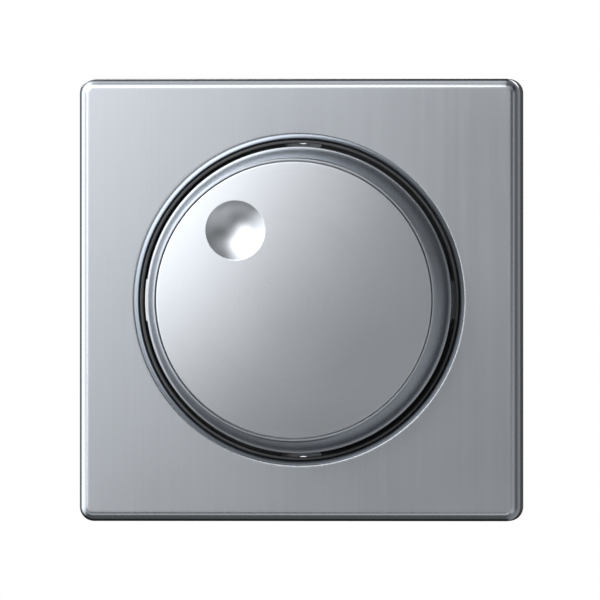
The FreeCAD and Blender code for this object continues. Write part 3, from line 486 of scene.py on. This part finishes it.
def glass_fuse(name, middle, half, cap):
    """Clear tube with plated caps."""
    material, p = new_finish(name)
    from_middle = abs(p.x - middle)
    cloud = p.noise(p.place, scale=800, detail=2)
    caps = p.shader(Base_Color=p.blend(cloud, (0.55, 0.55, 0.53), (0.75, 0.75, 0.73)),
                    Metallic=1.0, Roughness=0.2 + cloud * 0.15)
    tube = p.shader(Base_Color=(0.9, 0.95, 0.94), Roughness=0.04, Transmission_Weight=1.0,
                    IOR=1.47)
    p.finish(p.mixed(from_middle > (half - cap), tube, caps))
    return material


def finishes(look, shape):
    """Every finish, by its slot in the record or, where a slot has several, by its own name."""
    metal, rough = tuple(look.metal), look.metal_roughness
    board, copper = tuple(look.board), tuple(look.copper)
    low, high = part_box("fuse")
    left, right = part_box("resistors")
    resistor_half = (right.x - left.x - (RESISTOR_COUNT - 1) * RESISTOR_PITCH) / 2
    made = {
        "satin_aluminium": satin_plate("satin_plate", lighter(metal, -0.05), rough, shape),
        "satin_turned": satin_turned("satin_turned", lighter(metal, 0.14), rough),
        # The skirt's copy of the turned metal is darkened well below the face's to paint the dark
        # reflections its cone shows: painted shade on the same metal.
        "bright_turned": satin_turned("bright_turned", lighter(metal, -0.12), rough * 0.95),
        "board_laminate": laminate("board_laminate", board, copper),
        "enamelled_copper": wound("enamelled_copper", copper, WIRE_PITCH),
        "fuse_glass": glass_fuse("fuse_glass", (low.x + high.x) / 2, (high.x - low.x) / 2,
                                 FUSE_CAP),
        "resistor_lacquer": banded("resistor_lacquer", (0.5, 0.34, 0.17),
                                   (left.x + right.x) / 2, resistor_half - RESISTOR_LEAD),
    }
    recipes = (
        (moulded, "anthracite_plastic", tuple(look.lining), 0.42, {}),
        (moulded, "black_plastic", (0.018, 0.018, 0.019), 0.45, {}),
        (moulded, "grey_thermoset", tuple(look.housing), 0.5, {"grain": 0.2 * MM, "fleck": 0.05}),
        (moulded, "carbon_track", (0.02, 0.018, 0.016), 0.35, {"grain": 0.3 * MM}),
        (moulded, "phenolic", (0.17, 0.08, 0.035), 0.4, {"grain": 0.5 * MM, "fleck": 0.25}),
        (moulded, "ferrite", (0.05, 0.05, 0.055), 0.62, {"grain": 0.2 * MM, "depth": 0.02 * MM}),
        (moulded, "capacitor_case", (0.6, 0.36, 0.03), 0.25,
         {"grain": 0.6 * MM, "depth": 0.004 * MM}),
        (moulded, "epoxy_black", (0.02, 0.02, 0.022), 0.55, {"grain": 0.2 * MM}),
        (moulded, "natural_nylon", (0.72, 0.69, 0.6), 0.4, {}),
        (plated, "zinc_plated_steel", tuple(look.zinc), 0.34, {}),
        (plated, "solder", (0.66, 0.66, 0.65), 0.22, {}),
        (machined, "spring_steel", (0.48, 0.48, 0.5), 0.3, {}),
        (machined, "turned_steel", (0.56, 0.56, 0.58), 0.22, {}),
        (machined, "brass", tuple(look.brass), 0.24, {}),
        (machined, "extruded_aluminium", (0.66, 0.67, 0.68), 0.36, {"axis": "z"}),
    )
    for recipe, name, colour, roughness, options in recipes:
        made[name] = recipe(name, colour, roughness, **options)
    return made


FINISHES = {}


def finish_for(slot):
    if not FINISHES:
        scene = bpy.context.scene
        FINISHES.update(finishes(scene.dimmer_finish, scene.dimmer_shape))
    return FINISHES[slot]


def dress(*names):
    """Gives carried-over pieces the finish of their slot in the record."""
    slots = {part["node"]: part["material_slot"] for part in frame["record"]["subparts"]}
    for name in names:
        mesh = NODES[name].data
        mesh.materials.clear()
        mesh.materials.append(finish_for(slots[name]))


def add_piece(name, points, faces, slot, body, finish=None, replaced=(), sharp=35.0):
    """A finished mesh that rides on a body of the frame."""
    mesh = bpy.data.meshes.new(name)
    mesh.from_pydata([tuple(p) for p in points], [], faces)
    mesh.validate()
    work = bmesh.new()
    work.from_mesh(mesh)
    bmesh.ops.recalc_face_normals(work, faces=work.faces)
    work.to_mesh(mesh)
    work.free()
    mesh.shade_smooth()
    mesh.set_sharp_from_angle(angle=math.radians(sharp))
    mesh.materials.append(finish_for(finish or slot))
    piece = bpy.data.objects.new(name, mesh)
    bpy.context.scene.collection.objects.link(piece)
    weighted = piece.modifiers.new("weighted_normals", "WEIGHTED_NORMAL")
    weighted.keep_sharp = True
    weighted.weight = 80
    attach(piece, body)
    if replaced:
        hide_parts(*replaced)
    return piece


def skin(rings, closed=False):
    """Points and quads over rings of equally many points, each ring closed on itself."""
    count = len(rings[0])
    points = np.concatenate([np.asarray(ring, float) for ring in rings])
    faces = []
    last = len(rings) if closed else len(rings) - 1
    for i in range(last):
        a, b = i * count, (i + 1) % len(rings) * count
        for k in range(count):
            n = (k + 1) % count
            faces.append((a + k, a + n, b + n, b + k))
    return points, faces


def circle(radius, y, angles):
    """A ring of points about the y axis; its radius may change from point to point."""
    return np.stack([radius * np.cos(angles), np.full(len(angles), y), radius * np.sin(angles)],
                    axis=1)


def full_turn(steps):
    """Angles of so many equal steps, once round."""
    return np.linspace(0, 2 * math.pi, steps, endpoint=False)


def turned(profile, segments):
    """Points and quads of a closed turned solid from (radius, y) in metres, wound outward."""
    angles = full_turn(segments)
    return skin([circle(r, y, angles) for r, y in profile], closed=True)


def joined(*shapes):
    """Several sets of points and faces as one."""
    points, faces, start = [], [], 0
    for some_points, some_faces in shapes:
        points.append(some_points)
        faces += [tuple(k + start for k in face) for face in some_faces]
        start += len(some_points)
    return np.concatenate(points), faces


def moved(shape, x=0.0, y=0.0, z=0.0):
    points, faces = shape
    return points + np.array([x, y, z]), faces


def capped(rings):
    """A skin over rings with a flat face at both ends."""
    points, faces = skin(rings)
    count, last = len(rings[0]), (len(rings) - 1) * len(rings[0])
    return points, faces + [tuple(range(count)), tuple(range(last, last + count))]


def prism(outline, low, high, bevel=0.0):
    """A convex outline of (x, z) drawn out along y, its edge at low broken by a small bevel."""
    outline = np.asarray(outline, float)
    ahead = np.roll(outline, -1, axis=0) - outline
    behind = outline - np.roll(outline, 1, axis=0)
    normal = np.stack([ahead[:, 1] + behind[:, 1], -ahead[:, 0] - behind[:, 0]], axis=1)
    normal /= np.linalg.norm(normal, axis=1)[:, None]

    def ring(flat, y):
        return np.stack([flat[:, 0], np.full(len(flat), y), flat[:, 1]], axis=1)

    rings = [ring(outline, high), ring(outline, low + bevel)]
    if bevel:
        rings.append(ring(outline - normal * bevel, low))
    return capped(rings)


def arc_outline(radius, start, end, steps):
    angles = np.radians(np.linspace(start, end, steps))
    return np.stack([radius * np.cos(angles), radius * np.sin(angles)], axis=1)


def slotted_head(radius, low, high, slot_width, slot_depth, bevel):
    """A round screw head about y, its slot along x open towards low."""
    half = math.degrees(math.asin(slot_width / 2 / radius))
    floor = low + slot_depth
    upper = prism(arc_outline(radius, half, 180 - half, 40), low, floor, bevel)
    lower = prism(arc_outline(radius, 180 + half, 360 - half, 40), low, floor, bevel)
    body = prism(arc_outline(radius, 0, 360, 97)[:-1], floor, high)
    return joined(upper, lower, body)


def thread_rings(radius, depth, pitch, low, high, segments=48):
    """Rings of a helical thread about y; it runs out over one pitch at both ends."""
    rings_per_pitch, flank, crest = 8, 2.6, 0.3
    angles = full_turn(segments)
    rings = []
    for y in np.linspace(low, high, round((high - low) / pitch * rings_per_pitch) + 1):
        phase = ((y - low) / pitch - angles / (2 * math.pi)) % 1.0
        groove = np.clip(abs(phase - 0.5) * flank - crest, 0.0, 1.0)
        run_out = min(1.0, (y - low) / pitch, (high - y) / pitch)
        rings.append(circle(radius - depth * groove * run_out, y, angles))
    return rings


def mound(radius, height):
    """A small round mound that rises along +y from y = 0."""
    angles = full_turn(24)
    rings = [circle(radius * math.cos(a) ** 0.7, height * math.sin(a), angles)
             for a in np.radians(np.linspace(0, 84, 6))]
    return capped(rings)


def arc(centre, radius, start, end, steps):
    """(radius, y) points of a fillet about a centre, angles in degrees."""
    return [(centre[0] + radius * math.cos(a), centre[1] + radius * math.sin(a))
            for a in np.radians(np.linspace(start, end, steps))]


def rounded_square(half, corner, y, side_steps=80, corner_steps=12):
    """A ring of points along a square with round corners, anticlockwise seen from the front."""
    corner = max(corner, 0.001 * MM)
    straight = half - corner
    points = []
    for quarter in range(4):
        turn = quarter * math.pi / 2
        along = np.linspace(-straight, straight, side_steps, endpoint=False)
        piece = [(half, t) for t in along]
        for a in np.linspace(0, math.pi / 2, corner_steps, endpoint=False):
            piece.append((straight + corner * math.cos(a), straight + corner * math.sin(a)))
        c, s = math.cos(turn), math.sin(turn)
        points += [(px * c - pz * s, y, px * s + pz * c) for px, pz in piece]
    return np.array(points)


class DIMMER_OT_faceplate(bpy.types.Operator):
    """Pressed sheet with a rolled edge and a turned-in rim round the hole"""

    bl_idname = "dimmer.faceplate"
    bl_label = "Faceplate"

    def execute(self, context):
        s = context.scene.dimmer_shape
        half, front, foot, wall = s.plate_half, s.plate_front, s.plate_foot, s.plate_wall
        roll, rim, hole = s.plate_roll, s.rim_roll, s.hole_radius
        foot_break, rim_break = 0.12 * MM, 0.1 * MM
        roll_turn = np.radians(np.linspace(5, 90, 18))
        outline = rounded_square(half, s.plate_corner, 0.0)
        angles = np.arctan2(outline[:, 2], outline[:, 0])
        rings = []

        def square(inset, y):
            rings.append(rounded_square(half - inset, s.plate_corner - inset, y))

        def round_ring(radius, y):
            rings.append(circle(radius, y, angles))

        square(foot_break, -foot)
        square(0.0, -foot - foot_break)
        for y in np.linspace(foot + 0.2 * MM, front - roll, 5):
            square(0.0, -y)
        for a in roll_turn:
            square(roll * (1 - math.cos(a)), -(front - roll + roll * math.sin(a)))
        flat_edge = rings[-1]
        rim_start = circle(hole + rim, -front, angles)
        for share in (0.02, 0.2, 0.5, 0.8, 0.98, 1.0):
            rings.append(flat_edge * (1 - share) + rim_start * share)
        for a in roll_turn:
            round_ring(hole + rim - rim * math.sin(a), -(front - rim + rim * math.cos(a)))
        rim_bottom = -(front - s.rim_depth)
        for y in np.linspace(-(front - rim), rim_bottom - rim_break, 4)[1:]:
            round_ring(hole, y)
        round_ring(hole + rim_break, rim_bottom)
        round_ring(hole + wall, rim_bottom)
        round_ring(hole + wall, -(front - wall))
        square(wall, -(front - wall))
        square(wall, -foot)
        points, faces = skin(rings, closed=True)
        add_piece("faceplate_shell", points, faces, "satin_aluminium", "insert",
                  replaced=("faceplate",))
        return {"FINISHED"}


class DIMMER_OT_knob_disc(bpy.types.Operator):
    """Slightly domed face disc with a spherical finger dimple"""

    bl_idname = "dimmer.knob_disc"
    bl_label = "Knob face"

    def execute(self, context):
        s = context.scene.dimmer_shape
        radius, crown, edge = s.disc_radius, s.disc_crown, s.disc_edge
        back, top = DISC_HIGH.y, -DISC_LOW.y
        face_ball = (radius ** 2 + crown ** 2) / (2 * crown)
        dent_ball = (s.dimple_radius ** 2 + s.dimple_depth ** 2) / (2 * s.dimple_depth)
        cos, sin = math.cos(s.dimple_angle), math.sin(s.dimple_angle)
        mx, mz = s.dimple_offset * cos, s.dimple_offset * sin
        surface = top - (face_ball - math.sqrt(face_ball ** 2 - s.dimple_offset ** 2))
        lean = s.dimple_offset / face_ball
        lift = dent_ball - s.dimple_depth
        cx, cz = mx + lift * lean * cos, mz + lift * lean * sin
        cy = surface + lift
        softness = 0.018 * MM

        def height(x, z):
            """How far the face stands off the wall, with a soft rim round the dimple."""
            plain = top - (face_ball - np.sqrt(face_ball ** 2 - x ** 2 - z ** 2))
            inside = np.maximum(dent_ball ** 2 - (x - cx) ** 2 - (z - cz) ** 2, 0.0)
            dent = cy - np.sqrt(inside)
            lowered = softness * np.logaddexp(0.0, (plain - dent) / softness)
            return plain - np.where(inside > 0, lowered, 0.0)

        segments = s.segments + 64
        around = full_turn(segments)
        dx, dz = np.cos(around), np.sin(around)

        def ring(reach):
            x, z = mx + reach * dx, mz + reach * dz
            return np.stack([x, -height(x, z), z], axis=1)

        outer = radius - edge
        along = mx * dx + mz * dz
        to_edge = -along + np.sqrt(along ** 2 + outer ** 2 - mx ** 2 - mz ** 2)
        rim_end = 1.06
        bowl = np.concatenate([np.linspace(0.04, 0.93, 22), np.linspace(0.94, rim_end, 25)])
        face = np.concatenate([np.linspace(0.02, 0.1, 5), np.linspace(0.14, 1.0, 26)])
        start = s.dimple_radius * rim_end
        rings = [ring(s.dimple_radius * share) for share in bowl]
        rings += [ring(start + (to_edge - start) * share) for share in face]
        rim = rings[-1]
        angles = np.arctan2(rim[:, 2], rim[:, 0])
        shoulder = -rim[:, 1].mean()
        for a in np.radians(np.linspace(15, 90, 6)):
            rings.append(circle(outer + edge * math.sin(a),
                                -(shoulder - edge * (1 - math.cos(a))), angles))
        back_break = 0.05 * MM
        rings.append(circle(radius, back - back_break, angles))
        rings.append(circle(radius - back_break, back, angles))
        rings.append(circle(radius * 0.5, back, angles))
        points, faces = skin(rings)
        centre = len(points)
        points = np.vstack([points, [mx, -height(mx, mz), mz], [0.0, back, 0.0]])
        last = (len(rings) - 1) * segments
        for k in range(segments):
            n = (k + 1) % segments
            faces.append((n, k, centre))
            faces.append((last + k, last + n, centre + 1))
        add_piece("knob_face", points, faces, "satin_aluminium", "knob", "satin_turned",
                  ("knob_disc",), sharp=50)
        return {"FINISHED"}


class DIMMER_OT_knob_skirt(bpy.types.Operator):
    """Turned cup with a flange, a slight cone and a lip round the face"""

    bl_idname = "dimmer.knob_skirt"
    bl_label = "Knob skirt"

    def execute(self, context):
        s = context.scene.dimmer_shape
        foot_y, top_y, seat_y = SKIRT_HIGH.y, SKIRT_LOW.y, DISC_HIGH.y
        flange_y = -s.flange_top
        edge, back, root, chamfer = 0.2 * MM, 0.4 * MM, 0.1 * MM, 0.45 * MM
        hairline, lip_width, soft = 0.2 * MM, 0.3 * MM, 0.06 * MM
        seat_width, seat_depth = 2 * MM, 1 * MM
        flange = SKIRT_HIGH.x
        lip = s.disc_radius + hairline
        rim = lip + lip_width
        cone_top_y = top_y + chamfer
        inner_foot, inner_top = s.cone_foot - s.skirt_wall, s.cone_top - s.skirt_wall

        def line(start, end, shares):
            return [(start[0] + (end[0] - start[0]) * share, start[1] + (end[1] - start[1]) * share)
                    for share in shares]

        profile = [(inner_foot, foot_y)]
        profile += arc((flange - back, foot_y - back), back, 90, 0, 8)
        profile += arc((flange - edge, flange_y + edge), edge, 0, -90, 8)
        profile += arc((s.cone_foot + root, flange_y - root), root, 90, 180, 6)
        cone_end = (s.cone_top, cone_top_y)
        profile += line((s.cone_foot, flange_y), cone_end, np.linspace(0.06, 0.97, 10))
        profile += line(cone_end, (rim, top_y), (0.02, 0.1, 0.5, 0.9, 0.98))
        profile += [
            (rim - soft, top_y), (lip + soft, top_y), (lip, top_y + soft), (lip, seat_y),
            (lip - seat_width, seat_y), (lip - seat_width, seat_y + seat_depth),
            (inner_top, seat_y + seat_depth), (inner_foot, flange_y)]
        points, faces = turned(profile, s.segments)
        # Its finish is the turned metal darkened into painted shade.
        add_piece("knob_skirt_cup", points, faces, "satin_aluminium", "knob", "bright_turned",
                  ("knob_skirt",))
        return {"FINISHED"}


class DIMMER_OT_plate_carrier(bpy.types.Operator):
    """Dark moulding behind the plate that lines its hole"""

    bl_idname = "dimmer.plate_carrier"
    bl_label = "Plate carrier"

    def execute(self, context):
        dress("plate_carrier")
        return {"FINISHED"}


class DIMMER_OT_knob_inside(bpy.types.Operator):
    """Hub, spring, spindle and clip inside the knob"""

    bl_idname = "dimmer.knob_inside"
    bl_label = "Knob core and spindle"

    def execute(self, context):
        dress("knob_core", "hub_spring", "spindle", "spindle_clip")
        return {"FINISHED"}


class DIMMER_OT_bearing(bpy.types.Operator):
    """Threaded bush, nut and washer"""

    bl_idname = "dimmer.bearing"
    bl_label = "Bearing"

    def execute(self, context):
        dress("fixing_nut", "lock_washer")
        low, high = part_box("threaded_bush")
        bore, radius, pitch, depth = 3.05 * MM, 5.0 * MM, 0.75 * MM, 0.42 * MM
        shoulder, front, back, edge = high.x, 2.0 * MM, 3.2 * MM, 0.1 * MM
        angles = full_turn(96)
        profile = (
            (bore, low.y), (bore, high.y), (radius, high.y), (radius, back),
            (shoulder - edge, back), (shoulder, back - edge), (shoulder, front + edge),
            (shoulder - edge, front))
        rings = [circle(r, y, angles) for r, y in profile]
        rings += thread_rings(radius, depth, pitch, low.y + 0.4 * MM, front, len(angles))[::-1]
        rings.append(circle(radius - 0.4 * MM, low.y, angles))
        points, faces = skin(rings, closed=True)
        add_piece("bush_with_thread", points, faces, "brass", "insert",
                  replaced=("threaded_bush",))
        return {"FINISHED"}


class DIMMER_OT_housing(bpy.types.Operator):
    """Support ring, mechanism housing and its screws"""

    bl_idname = "dimmer.housing"
    bl_label = "Ring and housing"

    def execute(self, context):
        dress("support_ring", "housing_cover", "base_housing", "housing_screws")
        return {"FINISHED"}


class DIMMER_OT_control(bpy.types.Operator):
    """Dimming control and push switch"""

    bl_idname = "dimmer.control"
    bl_label = "Control and switch"

    def execute(self, context):
        dress("pot_case", "pot_track", "pot_rotor", "wiper_contact",
              "switch_case", "switch_plunger", "return_spring", "contact_bridge", "fixed_contacts")
        return {"FINISHED"}


class DIMMER_OT_electronics(bpy.types.Operator):
    """Circuit board and the parts on it"""

    bl_idname = "dimmer.electronics"
    bl_label = "Electronics"

    def execute(self, context):
        dress("circuit_board", "fuse", "fuse_clips", "choke_core", "choke_winding",
              "film_capacitor", "heat_sink", "heat_sink_screw", "triac", "resistors")
        board_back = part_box("circuit_board")[1].y
        low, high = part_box("resistors")
        lead_inset = 0.3 * MM
        level, first = (low.z + high.z) / 2, low.x + lead_inset
        reach = high.x - low.x - 2 * lead_inset - (RESISTOR_COUNT - 1) * RESISTOR_PITCH
        blob = mound(0.75 * MM, 0.5 * MM)
        blobs = [moved(blob, first + i * RESISTOR_PITCH + end, board_back, level)
                 for i in range(RESISTOR_COUNT) for end in (0.0, reach)]
        points, faces = joined(*blobs)
        add_piece("solder_joints", points, faces, "zinc_plated_steel", "insert", "solder")
        low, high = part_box("fuse")
        middle = (low + high) / 2
        wire_radius, sag, waves, inset = 0.07 * MM, 0.15 * MM, 900, 5.0 * MM
        across = circle(wire_radius, 0.0, full_turn(8))[:, [1, 0, 2]]
        wire = [across + np.array([x, middle.y + sag * math.sin(x * waves), middle.z])
                for x in np.linspace(low.x + inset, high.x - inset, 40)]
        points, faces = capped(wire)
        add_piece("fuse_wire", points, faces, "zinc_plated_steel", "insert", "solder")
        return {"FINISHED"}


class DIMMER_OT_terminals(bpy.types.Operator):
    """Wiring terminals and their screws"""

    bl_idname = "dimmer.terminals"
    bl_label = "Terminals"

    def execute(self, context):
        dress("terminal_cages", "terminal_screws")
        return {"FINISHED"}


class DIMMER_OT_claws(bpy.types.Operator):
    """Spreader claws, their nuts and screws"""

    bl_idname = "dimmer.claws"
    bl_label = "Claws"

    def execute(self, context):
        dress("claw_nut_left", "claw_nut_right", "claw_left", "claw_right")
        s = context.scene.dimmer_shape
        low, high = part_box("claw_screws")
        head_radius, head_foot, slot_width, slot_depth = 2.75 * MM, -1.0 * MM, 0.8 * MM, 0.7 * MM
        shank_radius, thread_depth, tip_radius, tip_length = 1.75 * MM, 0.3 * MM, 1.3 * MM, 0.3 * MM
        head = slotted_head(head_radius, low.y, head_foot, slot_width, slot_depth, 0.2 * MM)
        shank = thread_rings(shank_radius, thread_depth, s.thread_pitch, head_foot,
                             high.y - tip_length)
        tip = circle(tip_radius, high.y, full_turn(len(shank[0])))
        screw = joined(head, capped(shank + [tip]))
        x = high.x - head_radius
        points, faces = joined(moved(screw, -x), moved(screw, x))
        add_piece("claw_screws_with_thread", points, faces, "zinc_plated_steel", "insert",
                  replaced=("claw_screws",))
        return {"FINISHED"}


def add_light(name, centre, aim, width, height, power):
    """A rectangular soft light that the camera doesn't see."""
    data = bpy.data.lights.new(name, "AREA")
    data.shape = "RECTANGLE"
    data.size, data.size_y = width, height
    data.energy = power
    light = bpy.data.objects.new(name, data)
    bpy.context.scene.collection.objects.link(light)
    light.location = centre
    light.rotation_euler = (Vector(aim) - Vector(centre)).to_track_quat("-Z", "Y").to_euler()
    light.visible_camera = False


# Softboxes in front of the object: name, x, z, width and height in metres, share of the power.
# They stand this far in front of the wall, and aim at this share of their own place on it.
BOX_DISTANCE, BOX_AIM = 0.5, 0.3
STUDIO_LIGHTS = (
    ("key_low", -0.2, 0.05, 0.2, 0.2, 0.2),
    ("key_middle", -0.15, 0.15, 0.25, 0.25, 0.12),
    ("key_high", -0.1, 0.25, 0.2, 0.2, 0.2),
    ("key_right", 0.02, 0.25, 0.15, 0.15, 0.04),
    ("fill", 0.15, -0.15, 0.3, 0.3, 0.1),
    ("front", 0.0, 0.0, 0.5, 0.5, 0.02),
    ("top", -0.15, 0.45, 0.3, 0.3, 0.16),
    ("top_right", 0.25, 0.3, 0.3, 0.3, 0.08),
    ("wall_high", -0.35, 0.3, 0.4, 0.4, 0.75),
    ("wall_low", -0.45, -0.15, 0.3, 0.3, 0.06),
    ("low", -0.1, -0.35, 0.5, 0.2, 0.12),
    ("right", 0.45, -0.15, 0.3, 0.6, 0.16),
)


# One light on each side behind the object: place of the right one, size, share of the power
BACK_PLACE, BACK_SIZE, BACK_SHARE = (0.45, 0.9, 0.6), 0.6, 2

# The studio's walls in reflections: x and z of the direction, where the glow starts and is full,
# and its brightness
WALL_GLOW = (
    ("left", -0.9, 0.43, 0.25, 0.9, 1.6),
    ("above", 0.0, 1.0, 0.4, 0.9, 0.14),
    ("right", 0.9, -0.43, 0.3, 0.85, 0.14),
    ("below", 0.0, -1.0, 0.1, 0.5, 0.1),
)

FLOOR_RINGS = (0.02, 0.3, 0.8, 1.2)
SENSOR_WIDTH = 36.0
PICTURE_SHIFT = 0.18 * MM


class DIMMER_OT_stage(bpy.types.Operator):
    """Pale floor, white studio, soft lights and the camera"""

    bl_idname = "dimmer.stage"
    bl_label = "Stage"

    def execute(self, context):
        scene = context.scene
        stage = scene.dimmer_stage
        scene.view_settings.view_transform = "Standard"
        self.floor(scene, stage)
        self.walls(scene, stage)
        for name, x, z, width, height, share in STUDIO_LIGHTS:
            add_light(name, (x, -BOX_DISTANCE, z), (x * BOX_AIM, 0.0, z * BOX_AIM),
                      width, height, stage.softbox * share)
        x, y, z = BACK_PLACE
        for side in (-1, 1):
            add_light("back_light", (side * x, y, z), (0.0, 0.0, 0.0),
                      BACK_SIZE, BACK_SIZE, stage.softbox * BACK_SHARE)
        self.camera(scene, stage)
        return {"FINISHED"}

    def floor(self, scene, stage):
        """A pale disc, clear from below so that the object can be looked at from there too."""
        angles = full_turn(96)
        rings = []
        for radius in FLOOR_RINGS:
            ring = circle(radius, 0.0, angles)
            level = np.full(len(angles), -stage.floor_drop)
            rings.append(np.stack([ring[:, 0], ring[:, 2], level], axis=1))
        points, faces = skin(rings)
        faces.append(tuple(range(len(angles))))
        mesh = bpy.data.meshes.new("studio_floor")
        mesh.from_pydata([tuple(p) for p in points], [], faces)
        material, p = new_finish("studio_floor")
        grain = p.noise(p.place, scale=30, detail=3)
        pale = p.shader(Base_Color=p.blend(grain, (0.86, 0.86, 0.87), (0.9, 0.9, 0.9)),
                        Roughness=0.8 + grain * 0.1)
        from_below = p.node("ShaderNodeNewGeometry").outputs["Backfacing"]
        p.finish(p.mixed(from_below, pale, p.node("ShaderNodeBsdfTransparent")))
        mesh.materials.append(material)
        mesh.flip_normals()
        floor = bpy.data.objects.new("studio_floor", mesh)
        scene.collection.objects.link(floor)
        floor.visible_glossy = False

    def walls(self, scene, stage):
        """White to the camera; in reflections, walls that glow and a dimmer room behind."""
        world = bpy.data.worlds.new("studio")
        scene.world = world
        world.use_nodes = True
        p = Paint(world.node_tree, "Generated")
        level = 0.0
        for _, x, z, start, full, brightness in WALL_GLOW:
            level += p.ramp(p.x * x + p.z * z, start, full) * brightness
        behind = p.ramp(p.y, 0.0, 0.3)
        behind_right = p.ramp(p.x, 0.04, 0.3) * behind
        level = (level * (1 - behind * 0.85) + behind_right * 0.25) * stage.room
        tint = p.node("ShaderNodeVectorMath", {"operation": "SCALE"},
                      Vector=(0.97, 0.985, 1.0), Scale=level).outputs["Vector"]
        room = p.node("ShaderNodeBackground", Color=tint)
        white = p.node("ShaderNodeBackground", Color=(1.0, 1.0, 1.0))
        seen = p.node("ShaderNodeLightPath").outputs["Is Camera Ray"]
        p.node("ShaderNodeOutputWorld", Surface=p.mixed(seen, room, white).outputs[0])

    def camera(self, scene, stage):
        """Far off on a long lens, level with the knob's axis and a little to its right."""
        data = bpy.data.cameras.new("camera")
        camera = bpy.data.objects.new("camera", data)
        scene.collection.objects.link(camera)
        data.sensor_width = SENSOR_WIDTH
        data.lens = stage.lens
        distance = stage.frame_width * stage.lens / SENSOR_WIDTH
        back = Vector((math.sin(stage.azimuth), -math.cos(stage.azimuth), 0.0))
        target = Vector((PICTURE_SHIFT, -scene.dimmer_shape.plate_front, 0.0))
        camera.location = target + back * distance
        camera.rotation_mode = "QUATERNION"
        camera.rotation_quaternion = (-back).to_track_quat("-Z", "Y")
        data.clip_start, data.clip_end = 0.05, 20.0
        scene.camera = camera


OPERATORS = (
    DIMMER_OT_faceplate, DIMMER_OT_plate_carrier, DIMMER_OT_knob_skirt, DIMMER_OT_knob_disc,
    DIMMER_OT_knob_inside, DIMMER_OT_bearing, DIMMER_OT_housing, DIMMER_OT_control,
    DIMMER_OT_electronics, DIMMER_OT_terminals, DIMMER_OT_claws, DIMMER_OT_stage,
)


class DIMMER_PT_panel(bpy.types.Panel):
    bl_label = "Rotary dimmer switch"
    bl_idname = "DIMMER_PT_panel"
    bl_space_type = "VIEW_3D"
    bl_region_type = "UI"
    bl_category = "Dimmer"

    def draw(self, context):
        scene = context.scene
        for group in (scene.dimmer_shape, scene.dimmer_finish, scene.dimmer_stage):
            column = self.layout.box().column()
            for name in group.bl_rna.properties.keys():
                if name not in ("rna_type", "name"):
                    column.prop(group, name)
        buttons = self.layout.column()
        for operator in OPERATORS:
            buttons.operator(operator.bl_idname)


CLASSES = (DimmerShape, DimmerFinish, DimmerStage, *OPERATORS, DIMMER_PT_panel)


def register():
    for cls in CLASSES:
        bpy.utils.register_class(cls)
    bpy.types.Scene.dimmer_shape = PointerProperty(type=DimmerShape)
    bpy.types.Scene.dimmer_finish = PointerProperty(type=DimmerFinish)
    bpy.types.Scene.dimmer_stage = PointerProperty(type=DimmerStage)


def unregister():
    del bpy.types.Scene.dimmer_stage
    del bpy.types.Scene.dimmer_finish
    del bpy.types.Scene.dimmer_shape
    for cls in reversed(CLASSES):
        bpy.utils.unregister_class(cls)


def main():
    register()
    for operator in OPERATORS:
        group, name = operator.bl_idname.split(".")
        getattr(getattr(bpy.ops, group), name)()


if __name__ == "__main__":
    main()
